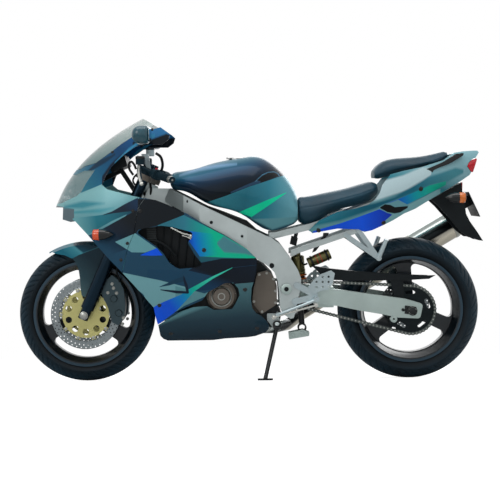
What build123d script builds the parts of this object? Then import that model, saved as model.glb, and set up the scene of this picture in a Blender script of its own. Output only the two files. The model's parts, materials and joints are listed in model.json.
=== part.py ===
from build123d import *
from math import asin, atan2, ceil, cos, degrees, hypot, pi, radians, sin, sqrt, tan
import os

# A 900 cc class sport motorcycle, parked on its side stand.
# Every piece is drawn on an upright bike: +X runs to the tail, +Y to the rider's right and +Z up,
# with the ground at z = 0 and x = 0 between the wheels. At the end all of it leans on the stand.
# All sizes are in millimetres and degrees. A side-view point is (x, z).

# ---------------------------------------------------------------- driving dimensions
rake = 24                      # steering axis, back from vertical
trail = 97
stand_lean = 8                 # how far the parked bike leans to its left

front_radius, rear_radius = 300, 311        # 120/70-17 and 190/50-17 tyres
front_width, rear_width = 120, 190
tyre_to_radiator = 23          # front tyre to the radiator's lower corner
tyre_to_web = 24.5             # rear tyre to the swingarm's crossing web
rim_radius = 221               # where the tyre's bead sits
rim_flange = 10                # flange height over the bead seat
rim_wall = 5
front_rim_width, rear_rim_width = 96, 154   # between the flanges
shoulder_drop = 48             # tyre's crown to its shoulder, in radius
spoke_half_hub, spoke_half_rim = 27, 33     # a spoke's half width at the hub and at the rim
running_gap = 0.3              # radial clearance of shafts in turning hubs

fork_spacing = 105             # fork leg to the centre plane
slider_radius, stanchion_radius = 29, 23
slider_length, fork_length = 330, 716       # up from the axle, along the leg
lower_yoke, upper_yoke = 452, 640           # underside of each yoke, along the leg
yoke_thickness = 24
stem_radius, stem_bore = 15, 8.5
head_wall = 17                 # of the steering head's tube

axle_radius, axle_bore = 12, 8
pivot_radius = 12
hub_radius = 40
disc_radius, disc_inner, disc_thickness = 152, 116, 5
rear_disc_radius, rear_disc_offset = 110, 90

chain_pitch = 15.875
chain_height = 15
sprocket_teeth, drive_teeth = 41, 16
sprocket_thickness = 6
arm_thickness = 27             # of the swingarm's beams

fairing_wall = 4
tail_wall = 5
guard_wall = 3

stand_pivot = Vector(127, -124, 250)
stand_splay = (-55, -152)      # foot from the pivot, on the ground: forwards and outwards
stand_leg_radius = 9

# ---------------------------------------------------------------- derived places
up_fork = Vector(sin(radians(rake)), 0, cos(radians(rake)))
back_fork = Vector(cos(radians(rake)), 0, -sin(radians(rake)))
sideways = Vector(0, 1, 0)
side = Plane.XZ                # drawn as seen from the left: x to the tail, y up, normal to the left

radiator_corner = (-413.2, 428)
web_rear = 372                 # rear end of the swingarm's crossing web
front_reach = sqrt(front_radius ** 2 - (radiator_corner[1] - front_radius) ** 2)
front_axle = Vector(radiator_corner[0] - tyre_to_radiator - front_reach, 0, front_radius)
rear_axle = Vector(web_rear + tyre_to_web + rear_radius, 0, rear_radius)
fork_offset = front_radius * sin(radians(rake)) - trail * cos(radians(rake))
steer_origin = front_axle + back_fork * fork_offset
stem_length = upper_yoke + yoke_thickness + 8 - lower_yoke
head_low, head_high = lower_yoke + yoke_thickness + 5, upper_yoke - 5
spoke_inner, spoke_outer = hub_radius + 18, rim_radius - 26
axle_half = fork_spacing + slider_radius - 4
disc_offset = fork_spacing - slider_radius - 9.5 - disc_thickness / 2
guard_half = fork_spacing - slider_radius - 1
chain_line = rear_width / 2 + 15            # chain's middle plane, to the left of the centre
arm_near = chain_line + 14
arm_far = arm_near + arm_thickness
pivot = Vector(167, 0, 411)                 # swingarm's pivot
drive_centre = Vector(83, 0, 408)

upright = Vector(0, sin(radians(stand_lean)), cos(radians(stand_lean)))     # on the leaning bike
foot_y = stand_pivot.Y + stand_splay[1]
foot = Vector(stand_pivot.X + stand_splay[0], foot_y, -foot_y * tan(radians(stand_lean)))
leg = (foot - stand_pivot).normalized()
fold = leg.cross(Vector(1, 0, 0)).normalized()              # the stand's hinge


def fork_plane(along):
    """Plane square to the steering axis, a distance along it: x to the back, y to the right."""
    return Plane(origin=steer_origin + up_fork * along, x_dir=back_fork, z_dir=up_fork)


def wheel_plane(axle):
    """Plane through a wheel's axis in which x is the distance to the right and y the radius."""
    return Plane(origin=axle, x_dir=(0, 1, 0), z_dir=(1, 0, 0))


def face_plane(centre, reach=0.0):
    """Side-view plane through a centre, moved a distance to the left. Extrusions go to the left."""
    return Plane(origin=centre - sideways * reach, x_dir=(1, 0, 0), z_dir=(0, -1, 0))


def cross_plane(x):
    """Plane across the bike at a place along it: x to the right, y up."""
    return Plane(origin=(x, 0, 0), x_dir=(0, 1, 0), z_dir=(1, 0, 0))


def around(axle, points):
    """Side-view points given from an axle, as places on the bike."""
    return [(axle.X + x, axle.Z + z) for x, z in points]


def rounded(points, corner):
    """Straight lines round a loop of points, each corner rounded by the radius or as much as fits."""
    points = [Vector(*point) for point in points]
    last = None
    for before, here, after in zip(points[-1:] + points[:-1], points, points[1:] + points[:1]):
        into, out = here - before, after - here
        turn = radians(into.get_angle(out)) / 2
        reach = min(corner * tan(turn), 0.45 * into.length, 0.45 * out.length)
        if turn < 0.02:
            start, end = here, here
        else:
            radius = reach / tan(turn)
            inwards = (out.normalized() - into.normalized()).normalized()
            start, end = here - into.normalized() * reach, here + out.normalized() * reach
            ThreePointArc(start, here + inwards * (radius / cos(turn) - radius), end)
        if last is None:
            first = start
        else:
            Line(last, start)
        last = end
    Line(last, first)


def outline(points, corner=0.0, plane=side):
    """A closed outline as a face, its corners rounded where a radius is given."""
    with BuildSketch(plane) as drawn:
        with BuildLine():
            if corner:
                rounded(points, corner)
            else:
                Polyline(*points, close=True)
        make_face()
    return drawn.sketch


def band(points, near, far, corner=0.0):
    """A side-view outline made solid between two distances to the left of the centre plane."""
    with BuildPart() as slab:
        extrude(outline(points, corner, side.offset(near)), amount=far - near)
    return slab.part


def strap(knots, half, near, far):
    """A flat bar with round ends along side-view points, between two distances to the left."""
    with BuildPart() as bar:
        with BuildSketch(side.offset(near)):
            for start, end in zip(knots, knots[1:]):
                run = Vector(*end) - Vector(*start)
                with Locations((Vector(*start) + Vector(*end)) * 0.5):
                    SlotCenterToCenter(run.length, 2 * half, rotation=degrees(atan2(run.Y, run.X)))
        extrude(amount=far - near)
    return bar.part


def disc(centre, radius, near, far, hole=0.0):
    """A round plate square to the bike's width, between two distances to the left of its centre."""
    with BuildPart() as plate:
        with BuildSketch(face_plane(centre, near)):
            Circle(radius)
            if hole:
                Circle(hole, mode=Mode.SUBTRACT)
        extrude(amount=far - near)
    return plate.part


def rod(start, end, radius):
    """A round bar between two points."""
    start, end = Vector(start), Vector(end)
    with BuildPart() as bar:
        with BuildSketch(Plane(origin=start, z_dir=end - start)):
            Circle(radius)
        extrude(amount=(end - start).length)
    return bar.part


def both_sides(piece):
    """A piece on the left and its mirror image on the right."""
    with BuildPart() as pair:
        add(piece)
        mirror(about=Plane.XZ)
    return pair.part


pieces = {}

# ---------------------------------------------------------------- wheels
# name, axle, outer radius, tyre width, rim width, half web, hub's half length, angle of the first spoke
wheels = [
    ("front", front_axle, front_radius, front_width, front_rim_width, 14, 52, 87.5),
    ("rear", rear_axle, rear_radius, rear_width, rear_rim_width, 18, 60, 95.5),
]
bead_gap = 0.4                 # tyre's bead to the rim's flange
hub_bore = axle_radius + running_gap
carrier_bore = hub_bore + 6
flange_top = rim_radius + rim_flange
for name, axle, radius, width, rim_width, web, hub_half, first_spoke in wheels:
    turn = Axis(axle, sideways)
    half, seat = width / 2, rim_width / 2
    bead = half - (half - seat - bead_gap) * (radius - shoulder_drop - rim_radius) / (
        radius - shoulder_drop - flange_top)

    # The tread is two bands that meet at the crown, so that the leaning tyre stands on its middle.
    right_half = [(half, radius - shoulder_drop), (bead, rim_radius)]
    left_half = [(-y, height) for y, height in right_half[::-1]]
    with BuildPart() as tyre:
        with BuildSketch(wheel_plane(axle)):
            with BuildLine():
                Polyline(*left_half, (0, radius), *right_half, close=True)
            make_face()
        revolve(axis=turn)
    pieces[name + "_tyre"] = tyre.part

    with BuildPart() as rim:
        edge = seat + 1 + rim_wall
        well = spoke_outer + 3
        with BuildSketch(wheel_plane(axle)):
            with BuildLine():
                Polyline((-edge, flange_top), (-seat - 1, flange_top), (-seat - 1, rim_radius - 0.5),
                         (seat + 1, rim_radius - 0.5), (seat + 1, flange_top), (edge, flange_top),
                         (edge, rim_radius - 7), (20, well), (-20, well), (-edge, rim_radius - 7), close=True)
            make_face()
        revolve(axis=turn)
        add(disc(axle, well + 4, -web, web))
        with BuildSketch(face_plane(axle)) as gaps:
            Circle(spoke_outer)
            Circle(spoke_inner, mode=Mode.SUBTRACT)
            with PolarLocations(0, 3, start_angle=first_spoke):
                Polygon((0, spoke_half_hub), (spoke_outer + 9, spoke_half_rim), (spoke_outer + 9, -spoke_half_rim),
                        (0, -spoke_half_hub), align=None, mode=Mode.SUBTRACT)
            fillet(gaps.vertices(), 18)
        extrude(amount=web, both=True, mode=Mode.SUBTRACT)
        add(disc(axle, hub_radius, -hub_half, hub_half))
        add(disc(axle, hub_bore, -hub_half, hub_half), mode=Mode.SUBTRACT)
    pieces[name + "_rim"] = rim.part

# Front brake: a ring on each side, and a lighter carrier with windows and tabs inside each.
front_hub_half = wheels[0][6]
disc_face = disc_offset - disc_thickness / 2
pieces["front_brake_discs"] = both_sides(disc(front_axle, disc_radius, disc_face, disc_face + disc_thickness,
                                              disc_inner))
carrier_radius, carrier_tabs = 103, 10
with BuildPart() as carrier:
    with BuildSketch(face_plane(front_axle, disc_face)):
        Circle(carrier_radius)
        with PolarLocations(disc_inner - 8.5, carrier_tabs):
            Rectangle(16, 17)
        with PolarLocations(78, carrier_tabs, start_angle=18):
            Circle(14, mode=Mode.SUBTRACT)
        Circle(carrier_bore, mode=Mode.SUBTRACT)
    extrude(amount=disc_thickness)
    add(disc(front_axle, hub_radius, front_hub_half, disc_face, carrier_bore))
pieces["front_disc_carriers"] = both_sides(carrier.part)

# The rear brake disc and the sprocket are each carried off an end of the hub.
rear_hub_half = wheels[1][6]
spindle_room = axle_radius + 6
with BuildPart() as rear_disc:
    with BuildSketch(face_plane(rear_axle, -rear_disc_offset - disc_thickness / 2)):
        Circle(rear_disc_radius)
        Circle(spindle_room, mode=Mode.SUBTRACT)
        with PolarLocations(60, 6):
            Circle(14, mode=Mode.SUBTRACT)
    extrude(amount=disc_thickness)
    add(disc(rear_axle, 36, disc_thickness / 2 - rear_disc_offset, -rear_hub_half, spindle_room))
pieces["rear_brake_disc"] = rear_disc.part

# ---------------------------------------------------------------- chain drive
sprocket_pitch_radius = chain_pitch / 2 / sin(pi / sprocket_teeth)
drive_pitch_radius = chain_pitch / 2 / sin(pi / drive_teeth)
gearbox_half = 97
tooth_gap = 5.2                # radius of the gap between two teeth


def toothed(centre, pitch_radius, teeth, tip):
    """A sprocket plate on the chain's line, with round gaps between its teeth."""
    with BuildPart() as plate:
        with BuildSketch(face_plane(centre, chain_line - sprocket_thickness / 2)):
            Circle(pitch_radius + tip)
            with PolarLocations(pitch_radius + tip + 1.5, teeth):
                Circle(tooth_gap, mode=Mode.SUBTRACT)
        extrude(amount=sprocket_thickness)
    return plate.part


with BuildPart() as sprocket:
    add(toothed(rear_axle, sprocket_pitch_radius, sprocket_teeth, 3))
    with BuildSketch(face_plane(rear_axle, chain_line - sprocket_thickness / 2)):
        with PolarLocations(76, 5, start_angle=20):
            SlotOverall(44, 15, rotation=90)
        Circle(spindle_room)
    extrude(amount=sprocket_thickness, mode=Mode.SUBTRACT)
    add(disc(rear_axle, 46, rear_hub_half, chain_line - sprocket_thickness / 2, spindle_room))
pieces["rear_sprocket"] = sprocket.part

# The chain is two rows of link plates, one each side of the sprockets. It bends at each link's pin.
span = rear_axle - drive_centre
run_length = hypot(span.X, span.Z)
tilt = atan2(span.Z, span.X)
wrap = asin((sprocket_pitch_radius - drive_pitch_radius) / run_length)
plate_start, plate_thickness = 4, 3         # from the chain's middle plane outwards


def chain_loop(grow):
    """The chain's outline at its pins, grown outwards or inwards: two round stretches and two straight runs."""
    points = []
    for centre, pitch_radius, first, turned in (
            (drive_centre, drive_pitch_radius, tilt + pi / 2 + wrap, pi - 2 * wrap),
            (rear_axle, sprocket_pitch_radius, tilt - pi / 2 - wrap, pi + 2 * wrap)):
        links = ceil(turned * pitch_radius / chain_pitch)
        for link in range(links + 1):
            angle = first + turned * link / links
            points.append((centre.X + (pitch_radius + grow) * cos(angle),
                           centre.Z + (pitch_radius + grow) * sin(angle)))
    return points


with BuildPart() as chain:
    for near in (chain_line - plate_start - plate_thickness, chain_line + plate_start):
        add(band(chain_loop(chain_height / 2), near, near + plate_thickness))
        add(band(chain_loop(-chain_height / 2), near, near + plate_thickness), mode=Mode.SUBTRACT)
pieces["chain"] = chain.part

# ---------------------------------------------------------------- front fork and steering
with BuildPart() as fork:
    for across in (-fork_spacing, fork_spacing):
        eye = front_axle + sideways * across
        add(rod(eye - up_fork * 18, eye + up_fork * 42, slider_radius - 6))
        add(rod(eye + up_fork * 30, eye + up_fork * slider_length, slider_radius))
        add(rod(eye + up_fork * slider_length, eye + up_fork * fork_length, stanchion_radius))
    add(disc(front_axle, axle_radius, -axle_half, axle_half), mode=Mode.SUBTRACT)
pieces["fork_legs"] = fork.part
pieces["front_axle"] = disc(front_axle, axle_radius, -axle_half, axle_half, axle_bore)

clamp_wall = 12
leg_places = [(-fork_offset, fork_spacing), (-fork_offset, -fork_spacing)]
with BuildPart() as yokes:
    for along in (lower_yoke, upper_yoke):
        with BuildSketch(fork_plane(along)):
            with Locations(*leg_places):
                Circle(stanchion_radius + clamp_wall)
            Circle(stem_radius + clamp_wall + 4)
            Polygon((-fork_offset + 24, fork_spacing), (26, 0), (-fork_offset + 24, -fork_spacing),
                    (-fork_offset - 22, -fork_spacing), (-fork_offset - 4, 0), (-fork_offset - 22, fork_spacing),
                    align=None)
            with Locations(*leg_places):
                Circle(stanchion_radius, mode=Mode.SUBTRACT)
        extrude(amount=yoke_thickness)
    with BuildSketch(fork_plane(lower_yoke)):
        Circle(stem_radius)
    extrude(amount=stem_length)
    with BuildSketch(fork_plane(lower_yoke)):
        Circle(stem_bore)
    extrude(amount=stem_length, mode=Mode.SUBTRACT)
pieces["fork_yokes"] = yokes.part

# Clip-on bars: a clamp round each fork leg above the upper yoke, and a bar back, out and down from it.
bar_clamp = upper_yoke + yoke_thickness + 2
bar_radius, grip_radius, grip_length, end_weight = 11, 16, 118, 26
clamp_foot = front_axle + up_fork * bar_clamp - sideways * fork_spacing
bar_start = clamp_foot + up_fork * 15
bar_run = Vector(125.5, -240, -42)
bar_end = bar_start + bar_run
bar_line = bar_run.normalized()
grip_start = bar_end - bar_line * (end_weight + grip_length)
with BuildPart() as left_bar:
    add(rod(clamp_foot, clamp_foot + up_fork * 30, stanchion_radius + 10))
    add(rod(bar_start, bar_end - bar_line * end_weight, bar_radius))
    add(rod(bar_end - bar_line * end_weight, bar_end, grip_radius - 2))
    add(rod(clamp_foot, clamp_foot + up_fork * 40, stanchion_radius), mode=Mode.SUBTRACT)
with BuildPart() as left_grip:
    add(rod(grip_start, grip_start + bar_line * grip_length, grip_radius))
    add(rod(grip_start, grip_start + bar_line * grip_length, bar_radius), mode=Mode.SUBTRACT)
with BuildPart() as bars:
    add(both_sides(left_bar.part))
    add(both_sides(left_grip.part))
pieces["handlebars"] = bars.part

# Switch housing, lever and fluid cup on each bar.
lever_pivot = bar_start + Vector(-25.5, -83, 23)
lever_tip = bar_start + Vector(-5.5, -195, -56)
housing_at, perch_at = grip_start - bar_line * 21, grip_start - bar_line * 54
with BuildPart() as left_controls:
    for at, radius, thickness in ((housing_at, 23, 36), (perch_at, 18, 24)):
        start, end = at - bar_line * thickness / 2, at + bar_line * thickness / 2
        add(rod(start, end, radius))
        add(rod(start, end, bar_radius), mode=Mode.SUBTRACT)
    add(rod(perch_at + (lever_pivot - perch_at).normalized() * (bar_radius + 5), lever_pivot, 6))
    add(rod(lever_pivot, lever_tip, 6))
    with Locations(lever_tip):
        Sphere(9)
    cup = lever_pivot + Vector(4, 14, 4)
    add(rod(cup, cup + Vector(0, 0, 34), 20))
pieces["bar_controls"] = both_sides(left_controls.part)

# Front mudguard: an arch over the tyre, its sides cut back at the front, with a blade down to each fork leg.
# The arch's section is half width and height over the tread.
guard_section = [(guard_half, -shoulder_drop), (guard_half, 3), (30, 16), (-30, 16), (-guard_half, 3),
                 (-guard_half, -shoulder_drop)]
guard_inside = [(guard_half - guard_wall, -shoulder_drop), (guard_half - guard_wall, 3 - guard_wall / 2),
                (30 - guard_wall / 2, 16 - guard_wall), (guard_wall / 2 - 30, 16 - guard_wall),
                (guard_wall - guard_half, 3 - guard_wall / 2), (guard_wall - guard_half, -shoulder_drop)]
guard_start, guard_end = 32, 121            # angles round the axle, up from the rear
guard_scale = front_radius / 300            # what follows was drawn for this wheel
guard_cut = [(-200, 300), (-151, 276), (-127, 266), (-88, 259), (-58, 245), (-41, 228), (-32, 205), (-200, 150)]
blade = [(-60, 252), (-41, 228), (-28, 197), (-22, 154), (-20, 119), (-16, 84), (10, 68), (30, 72), (118, 262),
         (100, 292), (0, 300)]
with BuildPart() as arch:
    with BuildSketch(wheel_plane(front_axle)):
        Polygon(*[(y, front_radius + height) for y, height in guard_section + guard_inside[::-1]], align=None)
    revolve(axis=Axis(front_axle, -sideways), revolution_arc=guard_end - guard_start)
with BuildPart() as front_guard:
    add(arch.part.rotate(Axis(front_axle, sideways), 90 - guard_start))
    cut = band(around(front_axle, [(x * guard_scale, z * guard_scale) for x, z in guard_cut]), 40, guard_half + 1)
    add(both_sides(cut), mode=Mode.SUBTRACT)
    leaf = band(around(front_axle, [(x * guard_scale, z * guard_scale) for x, z in blade]),
                guard_half - guard_wall, guard_half)
    add(both_sides(leaf))
    # Two bosses on each side meet the fork leg.
    for along in (120, 230):
        boss = front_axle + up_fork * along
        add(both_sides(rod(boss - sideways * (guard_half - 1), boss - sideways * (fork_spacing - 10), 8)))
    for across in (-fork_spacing, fork_spacing):
        eye = front_axle + sideways * across
        add(rod(eye, eye + up_fork * slider_length, slider_radius), mode=Mode.SUBTRACT)
pieces["front_mudguard"] = front_guard.part

# Brake calipers behind the fork legs, each with a slot for its disc.
caliper_side = [(67, 108), (96, 150), (120, 174), (152, 147), (171, 108), (177, 39), (172, -10), (146, -48),
                (118, -32), (102, 30)]
slot_gap = 5
with BuildPart() as left_caliper:
    add(band(around(front_axle, caliper_side), disc_offset - 19, disc_offset + 35, 9))
    add(disc(front_axle, 260, 40, disc_face - slot_gap, 188), mode=Mode.SUBTRACT)
    add(disc(front_axle, disc_radius + 6, disc_face - slot_gap, disc_face + disc_thickness + slot_gap),
        mode=Mode.SUBTRACT)
    eye = front_axle - sideways * fork_spacing
    add(rod(eye, eye + up_fork * slider_length, slider_radius + 0.2), mode=Mode.SUBTRACT)
pieces["front_calipers"] = both_sides(left_caliper.part)

# ---------------------------------------------------------------- frame
spar_side = [(-361, 792), (-332, 849), (-192, 774), (0, 681), (82, 640), (106, 630), (145, 599), (193, 532),
             (217, 493), (231, 455), (230, 416), (217, 368), (207, 320), (198, 286), (183, 283), (150, 305),
             (139, 330), (136, 397), (131, 445), (116, 484), (92, 508), (73, 522), (49, 536), (29, 556), (0, 585),
             (-48, 616), (-96, 647), (-192, 700), (-260, 739)]
plate_near, plate_far = arm_near + 8, arm_near + 36     # the pivot plates, outside the swingarm's beams
spar_plan = [(-410, -34), (-340, -98), (-270, -172), (-200, -206), (0, -206), (110, -172), (240, -plate_far),
             (240, -plate_near), (110, -140), (0, -174), (-190, -174), (-250, -142), (-318, -66), (-380, -20)]
with BuildPart() as spar:
    extrude(outline(spar_side, 6, side.offset(20)), amount=230)
    extrude(outline(spar_plan, 0, Plane.XY), amount=1000, mode=Mode.INTERSECT)
gusset_low = steer_origin + up_fork * (head_low + 30)
gusset_high = steer_origin + up_fork * (head_high - 20)
gusset_side = [(gusset_low.X, gusset_low.Z), (gusset_high.X, gusset_high.Z), (-335, 846), (-300, 770)]
head_centre = steer_origin + up_fork * head_low
head_top = steer_origin + up_fork * head_high
with BuildPart() as main_frame:
    add(both_sides(spar.part))
    add(rod(head_centre, head_top, stem_radius + head_wall))
    add(band(gusset_side, -84, 84, 5))
    add(rod(head_centre, head_top, stem_radius + running_gap), mode=Mode.SUBTRACT)
    add(disc(pivot, pivot_radius, -230, 230), mode=Mode.SUBTRACT)
    # Room for the yokes to turn, below and above the head.
    add(rod(head_centre - up_fork * 200, head_centre, stem_radius + head_wall + 22), mode=Mode.SUBTRACT)
    add(rod(head_top, head_top + up_fork * 200, stem_radius + head_wall + 40), mode=Mode.SUBTRACT)
pieces["main_frame"] = main_frame.part

# ---------------------------------------------------------------- engine and its covers
crankcase = [(-250, 262), (16, 262), (16, 440), (0, 470), (-60, 470), (-250, 400)]
gearbox = [(-60, 262), (140, 262), (146, 300), (128, 330), (128, 420), (108, 470), (60, 520), (-60, 520)]
cylinders = [(-250, 396), (-10, 466), (-70, 640), (-250, 640), (-302, 600), (-302, 470)]
air_box = [(-70, 600), (40, 600), (50, 655), (0, 700), (-100, 740), (-197, 776), (-284, 800), (-296, 700), (-290, 600)]
air_box_half = 95              # between the frame's spars, under the tank
engine_half = 150
with BuildPart() as engine:
    add(band(crankcase, -engine_half, engine_half))
    add(band(gearbox, -gearbox_half, gearbox_half))
    add(band(cylinders, -engine_half, engine_half))
    add(band(air_box, -air_box_half, air_box_half))
    add(toothed(drive_centre, drive_pitch_radius, drive_teeth, 2))
    add(disc(drive_centre, 14, gearbox_half, chain_line - sprocket_thickness / 2))
pieces["engine"] = engine.part

generator_centre, clutch_centre = Vector(-110, 0, 384), Vector(-20, 0, 372)
with BuildPart() as generator_cover:
    add(disc(generator_centre, 64, engine_half, 194))
    chamfer(generator_cover.faces().sort_by(Axis.Y)[0].edges(), 10)
    add(disc(generator_centre, 34, 194, 203))
with BuildPart() as clutch_cover:
    add(disc(clutch_centre, 76, -182, -engine_half))
    chamfer(clutch_cover.faces().sort_by(Axis.Y)[-1].edges(), 10)
cover_near = chain_line + 11   # clear of the chain's outer plates
cover_side = [(44, 479), (85, 488), (107, 472), (120, 441), (125, 397), (126, 343), (59, 300), (20, 353),
              (27, 411)]
with BuildPart() as covers:
    add(generator_cover.part)
    add(clutch_cover.part)
    add(band(cover_side, cover_near, cover_near + 23, 8))
    add(band([(17, 306), (52, 306), (46, 345), (17, 345)], gearbox_half, cover_near + 0.5))
pieces["engine_covers"] = covers.part

# The core leans back, between two side tanks. Its corner is the tyre's limit.
corner_x, corner_z = radiator_corner
core = [(4, 4), (36, 2), (20, 256), (-12, 258)]
side_tank = [(0, 0), (40, -2), (24, 260), (-16, 262)]
fan_shroud = [(24, 134), (98, 134), (90, 258), (10, 258)]
with BuildPart() as radiator:
    add(band([(corner_x + x, corner_z + z) for x, z in core], -150, 150, 4))
    add(band([(corner_x + x, corner_z + z) for x, z in fan_shroud], -140, 140, 4))
    for near in (-176, 150):
        add(band([(corner_x + x, corner_z + z) for x, z in side_tank], near, near + 26, 4))
pieces["radiator"] = radiator.part

# ---------------------------------------------------------------- exhaust on the right
silencer_radius, silencer_slope = 61, 30
silencer_start, silencer_length = Vector(500, 216, 409), 537
silencer_way = Vector(cos(radians(silencer_slope)), 0, sin(radians(silencer_slope)))
header_radius, pipe_radius = 17, 25
with BuildPart() as exhaust:
    with BuildSketch(Plane(origin=silencer_start, x_dir=(0, 1, 0), z_dir=silencer_way)):
        Circle(silencer_radius)
    extrude(amount=silencer_length)
    fillet(exhaust.edges(), 10)
    headers = [((-302, across, 535), (-350, across, 535), (-350, across * 0.9, 290), (-320, across * 0.6, 226),
                (-215, across * 0.3, 226)) for across in (-96, -32, 32, 96)]
    tail_pipe = ((-60, 0, 226), (110, 0, 226), (180, 110, 226), (250, 200, 262), silencer_start - silencer_way * 90,
                 silencer_start + silencer_way * 20)
    for knots, radius in [(header, header_radius) for header in headers] + [(tail_pipe, pipe_radius)]:
        with BuildLine() as path:
            FilletPolyline(*knots, radius=24)
        with BuildSketch(Plane(origin=path.line @ 0, z_dir=path.line % 0)):
            Circle(radius)
        sweep(path=path.line)
    with BuildSketch(cross_plane(-225)):
        with Locations((0, 226)):
            RectangleRounded(110, 50, 20)
    extrude(amount=185)
pieces["exhaust"] = exhaust.part

# ---------------------------------------------------------------- rear suspension
lug, lug_hole = rear_axle + Vector(-79.5, 0, -35), 4      # an M8 hole for a workshop stand
beam_front = [(290, 408), (340, 411), (437, 398), (582, 376)]
beam_under = [(582, 296), (485, 313), (388, 334), (290, 345)]
beam_end = [(-28, 51), (47, 28), (34, -34), (-62, -29)]
web_half = 93
shock_room = (243, 104, 100)   # the window's centre, length and width
with BuildPart() as swingarm:
    add(both_sides(band(beam_front + around(rear_axle, beam_end) + beam_under, arm_near, arm_far, 14)))
    add(band([(160, 433), (web_rear, 413), (web_rear, 326), (160, 389)], -web_half, web_half))
    with BuildSketch(Plane.XY):
        with Locations((shock_room[0], 0)):
            Rectangle(shock_room[1], shock_room[2])
    extrude(amount=600, mode=Mode.SUBTRACT)
    add(band([(295, 413), (web_rear, 413), (web_rear, 326), (295, 326)], -arm_near - 1, arm_near + 1))
    add(disc(pivot, 23, -129, 129))
    # Round lugs under the beams take the screws of a workshop stand.
    add(both_sides(disc(lug, 15, arm_near, arm_far)))
    for centre, hole in ((pivot, pivot_radius), (rear_axle, axle_radius), (lug, lug_hole)):
        add(disc(centre, hole, -200, 200), mode=Mode.SUBTRACT)
pieces["swingarm"] = swingarm.part

# The rear spindle, with its nuts and spacers, and the swingarm's pivot bolt.
with BuildPart() as spindles:
    add(disc(rear_axle, axle_radius, -arm_far - 4, arm_far + 4))
    add(disc(rear_axle, 20, arm_far, arm_far + 13))
    add(disc(rear_axle, 18, -arm_far - 13, -arm_far))
    add(disc(rear_axle, 17, chain_line + 8, arm_near))
    add(disc(rear_axle, 17, -arm_near, -rear_disc_offset - 10))
    add(disc(pivot, pivot_radius, -174, 174))
    add(both_sides(disc(pivot, 20, 170, 176)))
pieces["rear_axle"] = spindles.part

with BuildPart() as shock:
    top, bottom = Vector(222, 0, 560), Vector(240, 0, 226)
    way = (bottom - top).normalized()
    add(rod(top, top + way * 90, 30))
    add(rod(top + way * 60, top + way * 235, 22))
    for along in range(84, 235, 24):
        coil = top + way * along
        add(rod(coil, coil + way * 11, 38))
    add(rod(top + way * 225, bottom, 16))
    add(band([(189, 212), (270, 217), (264, 183), (184, 173)], -24, 24, 6))
pieces["rear_shock"] = shock.part

guard_top = [(280, 506), (361, 493), (439, 484)] + around(rear_axle, [(-121, 160), (-24, 153), (73, 149), (107, 150)])
guard_low = around(rear_axle, [(78, 134), (-24, 129)]) + [(439, 440), (340, 446)]
with BuildPart() as guard:
    add(band(guard_top + guard_low, chain_line + 12, chain_line + 15))
    add(band(guard_top[:-1] + [(x, z - 3) for x, z in guard_top[-2::-1]], chain_line - 12, chain_line + 12.5))
    add(band(around(rear_axle, [(-92, 135), (-33, 135), (-31, 55), (-71, 55)]), chain_line + 11.5,
             chain_line + 13.5))
pieces["chain_guard"] = guard.part

caliper_rear = [(-67, 69), (-83, 121), (-55, 165), (-3, 163), (9, 129), (-7, 89)]
caliper_arm = [(-57, 89), (-17, 99), (17, 11), (-7, -11), (-31, 19)]
with BuildPart() as rear_caliper:
    add(band(around(rear_axle, caliper_rear), -rear_disc_offset - 30, -rear_disc_offset + 20, 10))
    add(disc(rear_axle, rear_disc_radius + 6, -rear_disc_offset - 7.5, -rear_disc_offset + 7.5),
        mode=Mode.SUBTRACT)
    add(band(around(rear_axle, caliper_arm), -rear_disc_offset - 30, -rear_disc_offset - 11))
    add(disc(rear_axle, axle_radius + 5.1, -200, 200), mode=Mode.SUBTRACT)
pieces["rear_caliper"] = rear_caliper.part

# ---------------------------------------------------------------- tank and seats


def hull(sections):
    """A smooth body through cross-sections: x, bottom z and half width, waist z and half width, top z."""
    with BuildPart() as body:
        for x, low, low_half, waist, waist_half, high in sections:
            with BuildSketch(cross_plane(x)):
                with BuildLine():
                    shoulder = (waist_half * 0.72, waist + (high - waist) * 0.72)
                    Spline((-low_half, low), (-waist_half, waist), (-shoulder[0], shoulder[1]), (0, high),
                           shoulder, (waist_half, waist), (low_half, low))
                    Line((low_half, low), (-low_half, low))
                make_face()
        loft()
    return body.part


# x, bottom z, bottom half width, waist z, waist half width, top z
tank_sections = [
    (-330, 868, 100, 885, 112, 903),
    (-280, 836, 128, 875, 146, 921),
    (-197, 796, 150, 852, 172, 940),
    (-99, 759, 160, 835, 186, 966),
    (0, 719, 150, 820, 182, 983),
    (60, 676, 132, 790, 162, 980),
    (110, 660, 118, 770, 142, 954),
    (170, 672, 104, 760, 122, 898),
    (222, 704, 84, 752, 96, 806),
]
cap_x, cap_seat, cap_radius, cap_height, cap_room = -35, 962, 46, 17.5, 8
with BuildPart() as tank:
    add(hull(tank_sections))
    with BuildSketch(Plane.XY.offset(cap_seat)):
        with Locations((cap_x, 0)):
            Circle(cap_radius + cap_room)
    extrude(amount=60, mode=Mode.SUBTRACT)
pieces["fuel_tank"] = tank.part

cap_hinge = Vector(cap_x - cap_radius - 3, 0, cap_seat + 15)
with BuildPart() as cap:
    with BuildSketch(Plane.XY.offset(cap_seat + 0.5)):
        with Locations((cap_x, 0)):
            Circle(cap_radius)
    extrude(amount=cap_height - 0.5)
    fillet(cap.faces().sort_by(Axis.Z)[-1].edges(), 3)
    add(rod(cap_hinge - sideways * 14, cap_hinge + sideways * 14, 4))
pieces["fuel_cap"] = cap.part

rider_sections = [
    (226, 690, 60, 760, 84, 806),
    (300, 690, 84, 770, 112, 811),
    (391, 742, 90, 792, 128, 829),
    (488, 766, 86, 818, 128, 853),
    (550, 790, 76, 838, 116, 868),
    (580, 822, 60, 840, 78, 855),
]
pieces["rider_seat"] = hull(rider_sections)

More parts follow.
